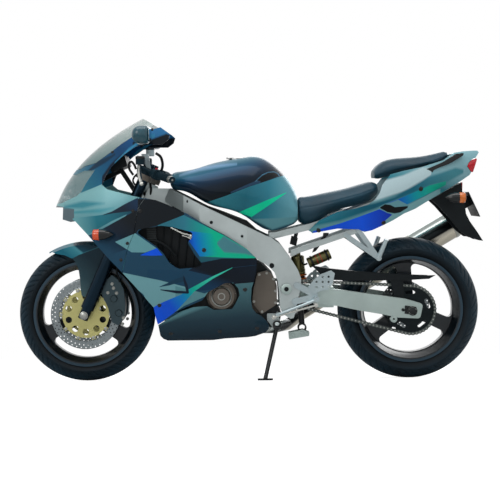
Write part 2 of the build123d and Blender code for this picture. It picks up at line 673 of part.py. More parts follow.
pillion_sections = [
    (553, 876, 60, 893, 76, 912),
    (592, 882, 74, 914, 98, 951),
    (760, 924, 78, 944, 104, 976),
    (850, 950, 60, 965, 84, 993),
    (889, 975, 40, 985, 56, 1001),
]
pieces["pillion_seat"] = hull(pillion_sections)

# ---------------------------------------------------------------- tail
# x, bottom z and half width, waist z and half width, top z and half width
tail_sections = [
    (268, 600, 112, 670, 128, 740, 120),
    (420, 610, 118, 700, 146, 800, 128),
    (560, 620, 104, 760, 142, 900, 116),
    (720, 700, 86, 830, 126, 960, 100),
    (860, 790, 68, 890, 104, 984, 82),
    (960, 850, 52, 925, 82, 1000, 64),
    (1035, 915, 40, 960, 58, 1006, 44),
]


def tail_form(sections, inset=0):
    """The tail's form through cross-sections with bowed sides, or with an inset the room inside it."""
    with BuildPart() as form:
        for x, low, low_half, waist, waist_half, high, high_half in sections:
            bottom, middle, top = low_half - inset, waist_half - inset, high_half - inset
            with BuildSketch(cross_plane(x)):
                with BuildLine():
                    ThreePointArc((-bottom, low), (-middle, waist), (-top, high - inset))
                    Line((-top, high - inset), (top, high - inset))
                    ThreePointArc((top, high - inset), (middle, waist), (bottom, low))
                    Line((bottom, low), (-bottom, low))
                make_face()
        loft()
    return form.part


tail_side = [(268, 660), (312, 701), (390, 738), (468, 752), (526, 769), (555, 791), (575, 820), (587, 852),
             (624, 898), (682, 913), (760, 928), (857, 957), (908, 990), (946, 996), (991, 999), (1013, 999),
             (1019, 992), (1012, 981), (1002, 967), (984, 960), (968, 944), (962, 930), (982, 903), (975, 892),
             (935, 866), (872, 829), (808, 793), (732, 748), (682, 728), (633, 699), (585, 676), (541, 657),
             (507, 650), (482, 662), (390, 666), (283, 647)]
lamp_side = [(1004, 965), (1009, 961), (991, 905), (983, 905), (964, 931), (969, 942), (985, 959)]
rail_side = [(761, 912), (808, 930), (857, 951), (911, 984), (944, 988), (940, 976), (880, 941), (838, 926),
             (812, 914), (804, 898), (781, 892)]
with BuildPart() as tail:
    add(tail_form(tail_sections))
    add(tail_form(tail_sections[:-1], tail_wall), mode=Mode.SUBTRACT)
    extrude(outline(tail_side), amount=200, both=True, mode=Mode.INTERSECT)
    add(hull([(x, low - 1, low_half + 1, waist, waist_half + 1, high + 1)
              for x, low, low_half, waist, waist_half, high in pillion_sections]), mode=Mode.SUBTRACT)
pieces["tail_cowl"] = tail.part

with BuildPart() as tail_lamp:
    add(tail_form(tail_sections))
    extrude(outline(lamp_side), amount=200, both=True, mode=Mode.INTERSECT)
pieces["tail_lamp"] = tail_lamp.part

with BuildPart() as grab_rail:
    add(both_sides(band(rail_side, 76, 112, 4)))
    add(tail_form(tail_sections), mode=Mode.SUBTRACT)

# The seat's rails, with two cross tubes, lugs on the frame, a grab rail and the side stand's bracket.
rail_near, rail_far = 98, 120
upper_rail = [(118, 624), (286, 664), (620, 778), (700, 806), (692, 830), (612, 804), (280, 690), (112, 650)]
lower_rail = [(196, 552), (479, 645), (612, 706), (690, 802), (664, 798), (600, 730), (470, 668), (190, 574)]
rail_lugs = [[(96, 626), (150, 640), (150, 654), (96, 652)], [(188, 548), (214, 556), (214, 580), (188, 572)]]
with BuildPart() as subframe:
    for points in (upper_rail, lower_rail):
        add(both_sides(band(points, rail_near, rail_far, 4)))
    for x, z in ((326, 682), (556, 762)):
        add(disc(Vector(x, 0, z), 9, -rail_near - 4, rail_near + 4))
    for points in rail_lugs:
        add(both_sides(band(points, rail_near, 131)))
    add(rod(stand_pivot - fold * 10, stand_pivot - fold * 19, 17))
    add(rod(stand_pivot - fold * 15, stand_pivot + fold * 13, 5))
    add(rod(stand_pivot + fold * 10, stand_pivot + fold * 14, 9))
    add(band([(142, 236), (142, 262), (132, 300), (84, 300), (84, 270), (112, 236)], gearbox_half,
             gearbox_half + 7.5, 5))
    add(grab_rail.part)
pieces["subframe"] = subframe.part

# The rear mudguard is open towards the wheel, and carries a blank plate.
guard_side = [(807, 788), (843, 754), (861, 733), (885, 706), (912, 672), (936, 645), (969, 620), (993, 617),
              (1012, 607), (1033, 604), (1006, 647), (976, 690), (960, 723), (955, 763), (945, 820), (940, 858)]
plate_centre, plate_way = Vector(988, 0, 764), Vector(0.91, 0, 0.415)
with BuildPart() as rear_guard:
    add(band(guard_side, -62, 62))
    add(band([(x - 9, z - 9) for x, z in guard_side], -57, 57), mode=Mode.SUBTRACT)
    with BuildSketch(Plane(origin=plate_centre, x_dir=(0, 1, 0), z_dir=plate_way)):
        Rectangle(190, 118)
    extrude(amount=3)
    add(band([(948, 800), (974, 799), (991, 760), (956, 740)], -20, 20))
pieces["rear_mudguard"] = rear_guard.part

# ---------------------------------------------------------------- fairing
# The fairing's form is a stack of slices: straight sides, and a half ellipse round the nose.
# height, nose x, x where the ellipse ends, half width
skin_slices = [
    (188, -838, -430, 120),
    (330, -838, -430, 210),
    (780, -838, -430, 230),
    (950, -735, -430, 207),
    (1160, -446, -330, 135),
]
skin_rear, skin_taper = 100, 14


def skin(inset=0):
    """The fairing's form as a solid, or with an inset the room inside it, open behind."""
    with BuildPart() as form:
        for row, (height, nose, middle, half) in enumerate(skin_slices):
            rear, wide = skin_rear + 2 * inset, half - inset
            with BuildSketch(Plane.XY.offset(height if row else height + inset)):
                with BuildLine():
                    Line((rear, skin_taper - wide), (middle, -wide))
                    EllipticalCenterArc((middle, 0), middle - nose - inset, wide, start_angle=90, arc_size=180)
                    Line((middle, wide), (rear, wide - skin_taper))
                    Line((rear, wide - skin_taper), (rear, skin_taper - wide))
                make_face()
        loft()
    return form.part


with BuildPart() as shell:
    add(skin())
    add(skin(fairing_wall), mode=Mode.SUBTRACT)


def panel(form, region):
    """The part of a form inside a side-view outline."""
    with BuildPart() as piece:
        add(form)
        extrude(outline(region), amount=300, both=True, mode=Mode.INTERSECT)
    return piece.part


side_panel = [(-430, 806), (-382, 797), (-335, 778), (-287, 754), (-253, 739), (-191, 701), (-143, 672),
              (-95, 648), (-47, 618), (0, 586), (29, 557), (43, 543), (39, 495), (29, 447), (-47, 442),
              (-287, 322), (-384, 265), (-391, 299), (-398, 342), (-434, 386), (-483, 444), (-527, 492),
              (-503, 592), (-475, 659), (-458, 763)]
vent = [(-467, 663), (-438, 678), (-362, 689), (-314, 683), (-267, 670), (-228, 659), (-233, 632), (-252, 620),
        (-219, 563), (-195, 534), (-190, 520), (-219, 511), (-286, 506), (-305, 515), (-329, 534), (-353, 573),
        (-381, 601), (-429, 635)]
cover_window = [(-325, 314), (-191, 371), (-167, 405), (-95, 443), (-57, 443), (-38, 419), (-33, 390),
                (-52, 352), (-66, 331), (-143, 328), (-172, 345), (-229, 341), (-286, 322)]
lower_panel = [(-382, 263), (-287, 320), (-47, 440), (27, 445), (18, 419), (15, 371), (20, 333), (39, 309),
               (58, 299), (81, 275), (92, 255), (90, 238), (77, 222), (33, 205), (0, 200), (-97, 195), (-150, 188),
               (-345, 188), (-364, 197), (-376, 212)]
nose_panel = [(-850, 768), (-850, 933), (-720, 933), (-699, 945), (-648, 957), (-605, 986), (-570, 1011),
              (-536, 1037), (-474, 1076), (-409, 1096), (-366, 1109), (-338, 1089), (-324, 1076), (-332, 1053),
              (-358, 1034), (-410, 1034), (-470, 1026), (-493, 1010), (-519, 993), (-551, 964), (-579, 936),
              (-598, 904), (-614, 864), (-593, 845), (-487, 817), (-433, 805), (-460, 763), (-477, 659),
              (-505, 592), (-529, 494), (-579, 545), (-628, 598), (-676, 651), (-734, 709), (-755, 706),
              (-795, 716), (-795, 768)]
lamp_panel = [(-850, 783), (-804, 786), (-780, 797), (-730, 816), (-710, 833), (-683, 880), (-649, 927),
              (-700, 926), (-739, 911), (-850, 911)]
screen_panel = [(-850, 935), (-720, 935), (-699, 947), (-647, 959), (-604, 988), (-569, 1013), (-535, 1039),
                (-473, 1078), (-409, 1098), (-398, 1123), (-453, 1155), (-480, 1158), (-850, 1158)]

with BuildPart() as sides:
    add(panel(shell.part, side_panel))
    add(both_sides(band(vent, 100, 300, 12)), mode=Mode.SUBTRACT)
    add(band(cover_window, 100, 300, 12), mode=Mode.SUBTRACT)
pieces["side_fairings"] = sides.part

with BuildPart() as lower:
    add(panel(shell.part, lower_panel))
    add(band(cover_window, 100, 300, 12), mode=Mode.SUBTRACT)
pieces["lower_fairing"] = lower.part

with BuildPart() as nose:
    add(panel(shell.part, nose_panel))
    extrude(outline(lamp_panel), amount=300, both=True, mode=Mode.SUBTRACT)
pieces["nose_cowl"] = nose.part
pieces["windscreen"] = panel(shell.part, screen_panel)

# The lamp's glass fills the opening in the nose. Behind it is a body with two round reflectors.
pieces["headlamp"] = panel(shell.part, lamp_panel)
bowl_y, bowl_radius = 76, 62
with BuildPart() as lamp_body:
    add(panel(skin(fairing_wall + 6), lamp_panel))
    for y in (-bowl_y, bowl_y):
        with Locations((-786, y, 850)):
            Sphere(bowl_radius, mode=Mode.SUBTRACT)
        add(rod((-738, y, 850), (-716, y, 850), 9))
pieces["lamp_body"] = lamp_body.part

# Instruments on a stay between the lamp and the steering head.
with BuildPart() as dials:
    add(band([(-592, 915), (-577, 986), (-530, 996), (-516, 946)], -92, 92, 8))
    add(band([(-686, 872), (-565, 935), (-545, 935), (-462, 806), (-482, 800), (-556, 915), (-692, 852)], -8, 8))
    add(rod(head_centre, head_top, stem_radius + head_wall), mode=Mode.SUBTRACT)
pieces["dials"] = dials.part

# Mirrors: y, length, height and corner radius of each slice of the pod.
mirror_slices = [(-215, 40, 36, 12), (-240, 70, 70, 22), (-300, 76, 80, 24), (-345, 66, 66, 22), (-358, 40, 40, 14)]
with BuildPart() as mirror_left:
    for y, long, high, corner in mirror_slices:
        with BuildSketch(Plane(origin=(-437, y, 1070), x_dir=(1, 0, 0), z_dir=(0, -1, 0))):
            RectangleRounded(long, high, corner)
    loft()
    add(rod((-455, -145, 1056), (-445, -225, 1066), 9))
    add(skin(), mode=Mode.SUBTRACT)
pieces["mirrors"] = both_sides(mirror_left.part)

# Turn lamps: a teardrop behind a flat lens, on a short stalk. Lens centre, then +1 where it tapers to the rear.
lamp_profile = [(0, 0), (0, 21), (27, 23)]
with BuildPart() as turn_lamps:
    for lens, way in ((Vector(-648, -247, 654), 1), (Vector(936, -172, 795), -1)):
        with BuildSketch(Plane(origin=lens, x_dir=(way, 0, 0), z_dir=(0, 1, 0))):
            with BuildLine():
                Polyline(*lamp_profile)
                ThreePointArc((27, 23), (62, 17), (87, 0))
                Line((87, 0), (0, 0))
            make_face()
        revolve(axis=Axis(lens, (way, 0, 0)))
    add(rod((-606, -205, 654), (-606, -236, 654), 9))
    add(rod((889, -62, 799), (889, -160, 799), 9))
    add(skin(), mode=Mode.SUBTRACT)
pieces["turn_lamps"] = both_sides(turn_lamps.part)

# ---------------------------------------------------------------- foot rests and controls
heel_side = [(359, 489), (375, 476), (366, 437), (348, 408), (312, 401), (283, 387), (258, 418), (287, 452),
             (316, 474)]
heel_near, heel_far = 171, 176
peg = Vector(292, 0, 373)
with BuildPart() as rests:
    add(band(heel_side, heel_near, heel_far, 6))
    with BuildSketch(face_plane(Vector(322, 0, 440), heel_near)):
        with GridLocations(26, 22, 3, 3):
            Circle(4.7)
    extrude(amount=heel_far - heel_near, mode=Mode.SUBTRACT)
    add(strap([(212, 426), (289, 384)], 13, 165.5, heel_near))
    add(strap([(203, 357), (289, 376)], 13, 165.5, heel_near))
    add(disc(peg, 11, 165.5, 255))
    # Gear lever on the left and brake pedal on the right, each with its toe peg.
    add(rod((288, -183, 362), (139, -183, 306), 6))
    add(rod((139, -176, 306), (125, -176, 306), 6))
    add(rod((128, -172, 306), (128, -212, 306), 8))
    # The passenger's rest, folded up on its bracket.
    add(strap([(429, 636), (566, 538), (482, 660)], 10, rail_far, rail_far + 6))
    add(rod((568, -130, 537), (600, -148, 617), 10))
    add(disc(Vector(568, 0, 537), 12, rail_far, 138))
pieces["foot_rests"] = both_sides(rests.part)

# ---------------------------------------------------------------- side stand
with BuildPart() as stand:
    add(rod(stand_pivot + leg * 8, foot + upright * 6, stand_leg_radius))
    add(rod(stand_pivot - fold * 9, stand_pivot + fold * 9, 19))
    add(rod(stand_pivot - fold * 9, stand_pivot + fold * 9, 5.3), mode=Mode.SUBTRACT)
    with BuildSketch(Plane(origin=foot, x_dir=(1, 0, 0), z_dir=upright)):
        SlotOverall(64, 40)
    extrude(amount=8)
pieces["side_stand"] = stand.part

# ---------------------------------------------------------------- write
lean = Location((0, 0, 0), (stand_lean, 0, 0))
leaned = {name: piece.moved(lean) for name, piece in pieces.items()}
boxes = [piece.bounding_box() for piece in leaned.values()]
middle_x = (min(box.min.X for box in boxes) + max(box.max.X for box in boxes)) / 2
middle_y = (min(box.min.Y for box in boxes) + max(box.max.Y for box in boxes)) / 2
floor = min(box.min.Z for box in boxes)
settle = Location((-middle_x, -middle_y, -floor))
park = settle * lean
os.makedirs("parts", exist_ok=True)
for name, piece in pieces.items():
    parked = piece.moved(park)
    parked.label = name
    export_step(parked, f"parts/{name}.step")
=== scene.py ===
# %% [markdown]
# A sport bike on its side stand. The solids of the bike come from CAD, and this file dresses them:
# paint, rubber, cast and polished metal, two padded seats, treaded tyres, a chain of real links and
# the small parts that hang on the frame. The frame of the scene is loaded first, because every piece
# is placed against it.

# %% Load the solids
import json
import math
import bmesh
import bpy
import numpy as np
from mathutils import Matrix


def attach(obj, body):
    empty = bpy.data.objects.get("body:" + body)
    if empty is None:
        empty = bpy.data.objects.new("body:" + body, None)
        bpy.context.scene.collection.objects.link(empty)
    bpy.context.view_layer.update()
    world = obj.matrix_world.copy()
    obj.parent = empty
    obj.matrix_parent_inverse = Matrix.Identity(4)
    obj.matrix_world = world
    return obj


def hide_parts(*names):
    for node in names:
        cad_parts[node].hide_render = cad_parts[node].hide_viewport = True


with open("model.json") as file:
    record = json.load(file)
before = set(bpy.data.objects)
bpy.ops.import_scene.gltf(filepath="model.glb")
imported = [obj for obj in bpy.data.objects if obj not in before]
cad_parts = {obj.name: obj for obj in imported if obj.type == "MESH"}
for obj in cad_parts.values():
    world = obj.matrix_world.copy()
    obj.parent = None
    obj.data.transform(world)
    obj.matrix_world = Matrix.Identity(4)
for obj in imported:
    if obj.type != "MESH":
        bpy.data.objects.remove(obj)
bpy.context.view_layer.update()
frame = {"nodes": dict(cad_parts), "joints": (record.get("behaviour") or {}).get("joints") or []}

# %% [markdown]
# The bike leans eight degrees to its left on the stand. It is far easier to think of it upright, so
# every place in this file is in millimetres on an upright bike: x runs to the tail, y to the rider's
# right and z up. One function leans those places and puts them where the CAD bike stands.

# %% From the upright bike to the parked one
lean = math.radians(8.0)
leaning = np.array([[1, 0, 0], [0, math.cos(lean), -math.sin(lean)], [0, math.sin(lean), math.cos(lean)]])
hinges = {joint["name"]: joint for joint in frame["joints"]}
rear_axle = np.array([707.5, 0.0, 311.0])
front_axle = np.array([-707.5, 0.0, 300.0])
parked_at = np.array(hinges["rear_wheel"]["pos_m"]) - leaning @ rear_axle / 1000
sideways = np.array([0.0, 1.0, 0.0])
rake = math.radians(24.0)
up_fork = np.array([math.sin(rake), 0.0, math.cos(rake)])
back_fork = np.array([math.cos(rake), 0.0, -math.sin(rake)])


def park(points):
    """Upright millimetres to the parked bike's metres: a turn about the length of the bike, then a shift."""
    return np.asarray(points, float) @ leaning.T / 1000 + parked_at


print("parked at", parked_at.round(4))

# %% [markdown]
# A studio for a bike is a pale floor, a big soft light overhead and softer ones in front and behind.
# The camera is a long lens square to the left side. It leans with the bike, so the wheels stay round
# and the side view stays a side view.

# %% Camera
lens_view = bpy.data.cameras.new("long_lens")
lens_view.sensor_width = 36.0
lens_view.lens = 81.28
lens_view.shift_x = 0.0026
lens_view.shift_y = -0.1195
lens_view.clip_end = 50.0
camera = bpy.data.objects.new("camera", lens_view)
bpy.context.scene.collection.objects.link(camera)
bpy.context.scene.camera = camera
roll = math.radians(0.556)
right = leaning @ (math.cos(roll), 0, -math.sin(roll))
upwards = leaning @ (math.sin(roll), 0, math.cos(roll))
backwards = leaning @ (0, -1, 0)
place = np.eye(4)
place[:3, 0], place[:3, 1], place[:3, 2] = right, upwards, backwards
place[:3, 3] = park((10, -5000, 835))
camera.matrix_world = place.T.tolist()
print("camera", place[:3, 3].round(3))


# %% [markdown]
# Colours are written as the hex numbers that a screen shows. The shaders count in linear light, so
# one function converts them. A second one adds a node to a material with its values and links,
# which keeps each recipe short enough to read.

# %% Colour and node helpers
def linear(code):
    """Hex colour to linear light: each channel c becomes c/12.92 when dark, else ((c+0.055)/1.055)^2.4."""
    channels = np.array([int(code[k:k + 2], 16) / 255 for k in (0, 2, 4)])
    light = np.where(channels <= 0.04045, channels / 12.92, ((channels + 0.055) / 1.055) ** 2.4)
    return (*light.tolist(), 1.0)


def add_node(tree, kind, sockets=None, **settings):
    """Adds a node, sets its properties, then fills its sockets with values or links from other sockets."""
    node = tree.nodes.new(kind)
    for key, value in settings.items():
        setattr(node, key, value)
    for key, value in (sockets or {}).items():
        if isinstance(value, bpy.types.NodeSocket):
            tree.links.new(value, node.inputs[key])
        else:
            node.inputs[key].default_value = value
    return node


def new_material(name):
    """An empty node material and its tree."""
    material = bpy.data.materials.new(name)
    material.use_nodes = True
    material.node_tree.nodes.clear()
    return material, material.node_tree


def upright(tree):
    """The place of the shaded point on the upright bike, in metres: the parking turn and shift undone."""
    here = add_node(tree, "ShaderNodeTexCoord").outputs["Object"]
    return add_node(tree, "ShaderNodeMapping", {"Vector": here, "Location": parked_at.tolist(),
                                                "Rotation": (lean, 0, 0)}, vector_type="TEXTURE").outputs[0]


def finish_surface(tree, sockets):
    """Closes a material with one Principled shader."""
    surface = add_node(tree, "ShaderNodeBsdfPrincipled", sockets)
    add_node(tree, "ShaderNodeOutputMaterial", {"Surface": surface.outputs[0]})
    return surface


# %% Floor, backdrop and lights
floor_paint, tree = new_material("studio_floor_paint")
ray = add_node(tree, "ShaderNodeLightPath")
seen = add_node(tree, "ShaderNodeMath", {0: ray.outputs["Is Camera Ray"], 1: ray.outputs["Is Transmission Ray"]},
                operation="MAXIMUM").outputs[0]
matt = add_node(tree, "ShaderNodeBsdfDiffuse", {"Color": linear("EDEEEE")}).outputs[0]
lift = add_node(tree, "ShaderNodeMath", {0: seen, 1: 0.80}, operation="MULTIPLY").outputs[0]
glow = add_node(tree, "ShaderNodeEmission", {"Color": (1, 1, 1, 1), "Strength": lift}).outputs[0]
both = add_node(tree, "ShaderNodeAddShader", {0: matt, 1: glow}).outputs[0]
add_node(tree, "ShaderNodeOutputMaterial", {"Surface": both})

floor_mesh = bpy.data.meshes.new("studio_floor")
floor_mesh.from_pydata([(-14, -9, 0), (14, -9, 0), (14, 14, 0), (-14, 14, 0)], [], [(0, 1, 2, 3)])
floor = bpy.data.objects.new("studio_floor", floor_mesh)
floor.data.materials.append(floor_paint)
bpy.context.scene.collection.objects.link(floor)

world = bpy.data.worlds.new("studio")
bpy.context.scene.world = world
world.use_nodes = True
tree = world.node_tree
tree.nodes.clear()
ray = add_node(tree, "ShaderNodeLightPath")
seen = add_node(tree, "ShaderNodeMath", {0: ray.outputs["Is Camera Ray"], 1: ray.outputs["Is Transmission Ray"]},
                operation="MAXIMUM").outputs[0]
shine = add_node(tree, "ShaderNodeMath", {0: ray.outputs["Is Glossy Ray"], 1: 0.56, 2: 0.32},
                 operation="MULTIPLY_ADD").outputs[0]
level = add_node(tree, "ShaderNodeMath", {0: seen, 1: shine}, operation="MAXIMUM").outputs[0]
sky = add_node(tree, "ShaderNodeBackground", {"Color": (1, 1, 1, 1), "Strength": level}).outputs[0]
add_node(tree, "ShaderNodeOutputWorld", {"Surface": sky})

bpy.context.scene.view_settings.view_transform = "Standard"
for name, spot, target, size, power in (
        ("overhead", (0.0, -0.9, 3.3), (0, 0, 0.5), (3.6, 1.8), 50.0),
        ("left_front", (-2.4, -3.6, 1.9), (-0.2, 0, 0.6), (1.6, 1.8), 26.0),
        ("behind", (1.2, 3.2, 2.2), (0, 0, 0.6), (2.8, 1.4), 24.0)):
    lamp = bpy.data.lights.new(name, "AREA")
    lamp.shape = "RECTANGLE"
    lamp.size, lamp.size_y = size
    lamp.energy = power
    holder = bpy.data.objects.new(name, lamp)
    holder.location = spot
    aim = np.array(target) - np.array(spot)
    holder.rotation_euler = (math.atan2(math.hypot(aim[0], aim[1]), -aim[2]), 0,
                             math.atan2(aim[0], -aim[1]) + math.pi)
    bpy.context.scene.collection.objects.link(holder)
print("studio ready")

# %% [markdown]
# The bodywork is ABS, sprayed with a metallic base coat and a clear coat, and its stripes run across
# several panels as if they were one. So the stripes are not drawn on the panels but in space: a stripe
# is the room between two broken lines in the side view, and every panel asks the same question of each
# point, whether it lies between them. Float Curve nodes with straight handles hold the broken lines.


# %% Stripes in the side view
def stripe(tree, side, upper, lower, soft=0.0):
    """1 between two broken lines of side-view points (x, z) in millimetres, and 0 outside: the height is
    compared with the two lines' heights at the same x. soft is the width of a blurred edge."""
    x, z = side
    line = np.array(upper + lower, float) / 1000
    low, high = line.min(axis=0) - 0.001, line.max(axis=0) + 0.001
    along = add_node(tree, "ShaderNodeMapRange", {"Value": x, "From Min": low[0], "From Max": high[0]}).outputs[0]
    inside = None
    for edge, above in ((upper, False), (lower, True)):
        curve = add_node(tree, "ShaderNodeFloatCurve", {"Value": along})
        points = curve.mapping.curves[0].points
        knots = (np.array(edge, float) / 1000 - low) / (high - low)
        while len(points) < len(knots):
            points.new(0.5, 0.5)
        for point, knot in zip(points, knots):
            point.location = knot
            point.handle_type = "VECTOR"
        curve.mapping.update()
        height = add_node(tree, "ShaderNodeMath", {0: curve.outputs[0], 1: float(high[1] - low[1]),
                                                   2: float(low[1])}, operation="MULTIPLY_ADD").outputs[0]
        gap = add_node(tree, "ShaderNodeMath", {0: z, 1: height} if above else {0: height, 1: z},
                       operation="SUBTRACT").outputs[0]
        blur = max(soft / 1000, 0.0008)
        part = add_node(tree, "ShaderNodeMapRange", {"Value": gap, "From Min": -blur / 2,
                                                     "From Max": blur / 2}).outputs[0]
        inside = part if inside is None else add_node(tree, "ShaderNodeMath", {0: inside, 1: part},
                                                      operation="MULTIPLY").outputs[0]
    for a, b in ((x, float(low[0])), (float(high[0]), x)):
        within = add_node(tree, "ShaderNodeMath", {0: a, 1: b}, operation="GREATER_THAN").outputs[0]
        inside = add_node(tree, "ShaderNodeMath", {0: inside, 1: within}, operation="MULTIPLY").outputs[0]
    return inside


def fade(tree, side, start, end, colours):
    """A colour ramp along the run from one side-view point to another, in millimetres."""
    run = (np.array(end, float) - start) / 1000
    way = run / (run @ run)
    offset = -float(way @ (np.array(start, float) / 1000))
    part = add_node(tree, "ShaderNodeMath", {0: side[0], 1: float(way[0]), 2: offset},
                    operation="MULTIPLY_ADD").outputs[0]
    part = add_node(tree, "ShaderNodeMath", {0: side[1], 1: float(way[1]), 2: part},
                    operation="MULTIPLY_ADD").outputs[0]
    ramp = add_node(tree, "ShaderNodeValToRGB", {0: part})
    elements = ramp.color_ramp.elements
    while len(elements) < len(colours):
        elements.new(0.5)
    for element, (spot, code) in zip(elements, colours):
        element.position = spot
        element.color = linear(code)
    return ramp.outputs[0]


def over(tree, base, mask, colour):
    """One colour laid over another where the mask is 1."""
    cover = linear(colour) if isinstance(colour, str) else colour
    return add_node(tree, "ShaderNodeMix", {"Factor": mask, 6: base, 7: cover}, data_type="RGBA").outputs[2]


# %% [markdown]
# All the stripes together make one drawing. Each line below is one area of colour, laid over those before it, as a
# painter masks and sprays them. Most areas are the paint's own stripes; a few are painted highlights, painted shade and
# a painted reflection, each marked where it stands.

# %% The drawing
slate, navy, ink, pale, teal = "1D4862", "0A1D33", "030F18", "7FB2B8", "1F7686"
blue, cyan, green = "0A5CF4", "068AC4", "04C49A"
fairing_drawing = [
    # every panel starts in slate; the nose is pale, and blue runs up the screen's frame
    ([(-860, 1170), (110, 1170)], [(-860, 180), (110, 180)], 0, slate),
    ([(-860, 960), (-460, 1000), (-300, 1110)], [(-860, 560), (-640, 560), (-455, 806), (-300, 1010)], 0,
     ((-640, 900), (-600, 730), [(0, "6FA6B0"), (0.35, "86BCC0"), (0.62, "7DB4BA"), (1, "5E9AA4")])),
    ([(-860, 780), (-741, 762)], [(-860, 690), (-741, 690)], 0, "5E7078"),
    ([(-860, 1000), (-720, 1000), (-560, 1100), (-300, 1160)],
     [(-860, 900), (-712, 830), (-655, 851), (-612, 868), (-520, 960), (-300, 980)], 0,
     ((-700, 850), (-420, 1070), [(0, "2C7488"), (0.3, "14587C"), (0.62, "0C3E68"), (0.82, "0F4A7C"),
                                  (1, "2A6EA0")])),
    # the screen's frame darkens along its inner edge, partly its black rubber trim and partly painted shade under the
    # edge, and behind, where the dark is painted shade
    ([(-612, 905), (-579, 952), (-551, 978), (-493, 1022), (-410, 1046), (-335, 1062)],
     [(-614, 860), (-579, 934), (-551, 962), (-493, 1008), (-410, 1032), (-335, 1040)], 10, "06182A"),
    # painted shade on the frame's rear end, from the mirror to the tip
    ([(-483, 1047), (-414, 1052), (-340, 1080), (-320, 1074)], [(-483, 1020), (-414, 1026), (-320, 1028)], 9, ink),
    ([(-684, 925), (-638, 968), (-577, 990), (-560, 1000)],
     [(-684, 918), (-640, 938), (-600, 960), (-560, 990)], 8, "0C3048"),
    # painted highlight: a lighter blue band along the screen's frame
    ([(-560, 960), (-500, 1020), (-440, 1062), (-390, 1080)], [(-560, 945), (-500, 1006), (-440, 1048), (-390, 1066)],
     9, "2E7FA6"),
    # painted reflection: two darker soft bands in the pale nose; then the teal wedge under it
    ([(-790, 775), (-700, 795), (-640, 790), (-600, 786)], [(-790, 765), (-700, 764), (-640, 778), (-600, 784)],
     14, "3F8F9E"),
    ([(-740, 752), (-620, 762), (-560, 768)], [(-740, 742), (-620, 746), (-560, 766)], 10, "4A98A4"),
    ([(-745, 722), (-607, 737), (-470, 755)], [(-745, 716), (-673, 655), (-569, 711), (-470, 754)], 0,
     ((-725, 700), (-480, 752), [(0, "6AA8B0"), (0.35, teal), (1, "0F4658")])),
    # the dark band from the nose to the frame
    ([(-690, 642), (-671, 650), (-612, 677), (-472, 752), (-471, 804), (-380, 800), (-265, 745)],
     [(-690, 600), (-600, 560), (-510, 590), (-458, 672), (-375, 690), (-265, 731)], 0,
     ((-600, 590), (-470, 740), [(0, slate), (0.45, "081A2C"), (0.8, ink), (1, ink)])),
    ([(-609, 737), (-569, 751), (-512, 783), (-460, 808)], [(-609, 735), (-569, 742), (-512, 749), (-460, 753)],
     0, ((-600, 730), (-470, 800), [(0, "082234"), (0.6, "081C2E"), (1, "12304E")])),
    # teal over the vent, turning green behind it
    ([(-375, 691), (-265, 733), (-97, 645), (-6, 592), (45, 548)],
     [(-375, 689), (-228, 661), (-247, 627), (-200, 556), (-6, 545), (45, 543)], 0,
     ((-330, 640), (-110, 640), [(0, "2B7487"), (0.3, "2F7F94"), (0.62, "16A09A"), (0.85, green), (1, green)])),
    ([(-232, 664), (-120, 650), (-118, 600)], [(-247, 627), (-198, 556), (-118, 562)], 0,
     ((-240, 600), (-130, 620), [(0, "0B44C0"), (0.2, "0672DC"), (0.55, "0A9CC0"), (1, green)])),
    ([(-124, 618), (-97, 642), (-6, 590), (40, 552)], [(-124, 606), (-96, 574), (-6, 566), (40, 552)], 10,
     "4F8D98"),
    ([(-198, 558), (-100, 552), (-6, 548)], [(-199, 533), (-100, 548), (-6, 546)], 3, "20606E"),
    # pale and blue triangles in front of the vent
    ([(-555, 623), (-470, 658), (-382, 595)], [(-555, 621), (-486, 578), (-429, 577), (-382, 593)], 0, "6AA4AC"),
    ([(-448, 567), (-380, 595), (-357, 566)], [(-448, 565), (-400, 563), (-357, 564)], 0, blue),
    # the dark tail of the side panel over the generator cover
    ([(-250, 497), (-199, 530), (-108, 547), (45, 548)], [(-250, 440), (-240, 409), (-7, 425), (45, 440)], 0,
     ((-150, 430), (-110, 540), [(0, "0B3656"), (0.45, "041220"), (0.8, "041322"), (1, "051626")])),
    ([(-420, 505), (-253, 500), (-146, 474), (-63, 509), (45, 520)],
     [(-420, 455), (-245, 420), (-146, 470), (-63, 508), (45, 519)], 0, "164460"),
    # pale wedge low down, the blue that turns green along it, and a last pale corner
    ([(-523, 492), (-370, 459), (-253, 427), (-249, 410)], [(-523, 470), (-440, 400), (-390, 300), (-249, 385)],
     0, "74AAB2"),
    ([(-225, 412), (-181, 400), (-60, 445)], [(-272, 345), (-303, 322), (-60, 440)], 0, "5C929A"),
    ([(-400, 340), (-392, 347), (-359, 364), (-279, 397), (-245, 420), (-146, 473), (-63, 509)],
     [(-400, 255), (-375, 271), (-303, 324), (-223, 410), (-146, 462), (-63, 507)], 0,
     ((-380, 300), (-150, 470), [(0, blue), (0.25, "0A58E0"), (0.5, cyan), (0.68, "05B89E"), (1, "3ED0B4")])),
    # the air slot pressed in the pale wedge, painted dark as the shade in its recess, with navy lines beside it
    ([(-370, 432), (-340, 445), (-298, 465), (-266, 475), (-262, 470)],
     [(-370, 430), (-330, 436), (-296, 446), (-268, 452), (-262, 445)], 0, "133C54"),
    ([(-268, 478), (-252, 438), (-247, 407)], [(-268, 452), (-256, 400), (-247, 403)], 0, navy),
    ([(-366, 420), (-300, 414), (-250, 410)], [(-366, 416), (-300, 402), (-250, 400)], 0, navy),
]
lower_drawing = [
    ([(-390, 490), (110, 490)], [(-390, 150), (110, 150)], 0,
     ((-100, 450), (-80, 190), [(0, "4F7C84"), (0.35, "3C6069"), (0.62, "24404E"), (1, "142A38")])),
    ([(-383, 268), (-287, 322), (-160, 385)], [(-383, 262), (-287, 300), (-160, 350)], 16, "5A8A92"),
]
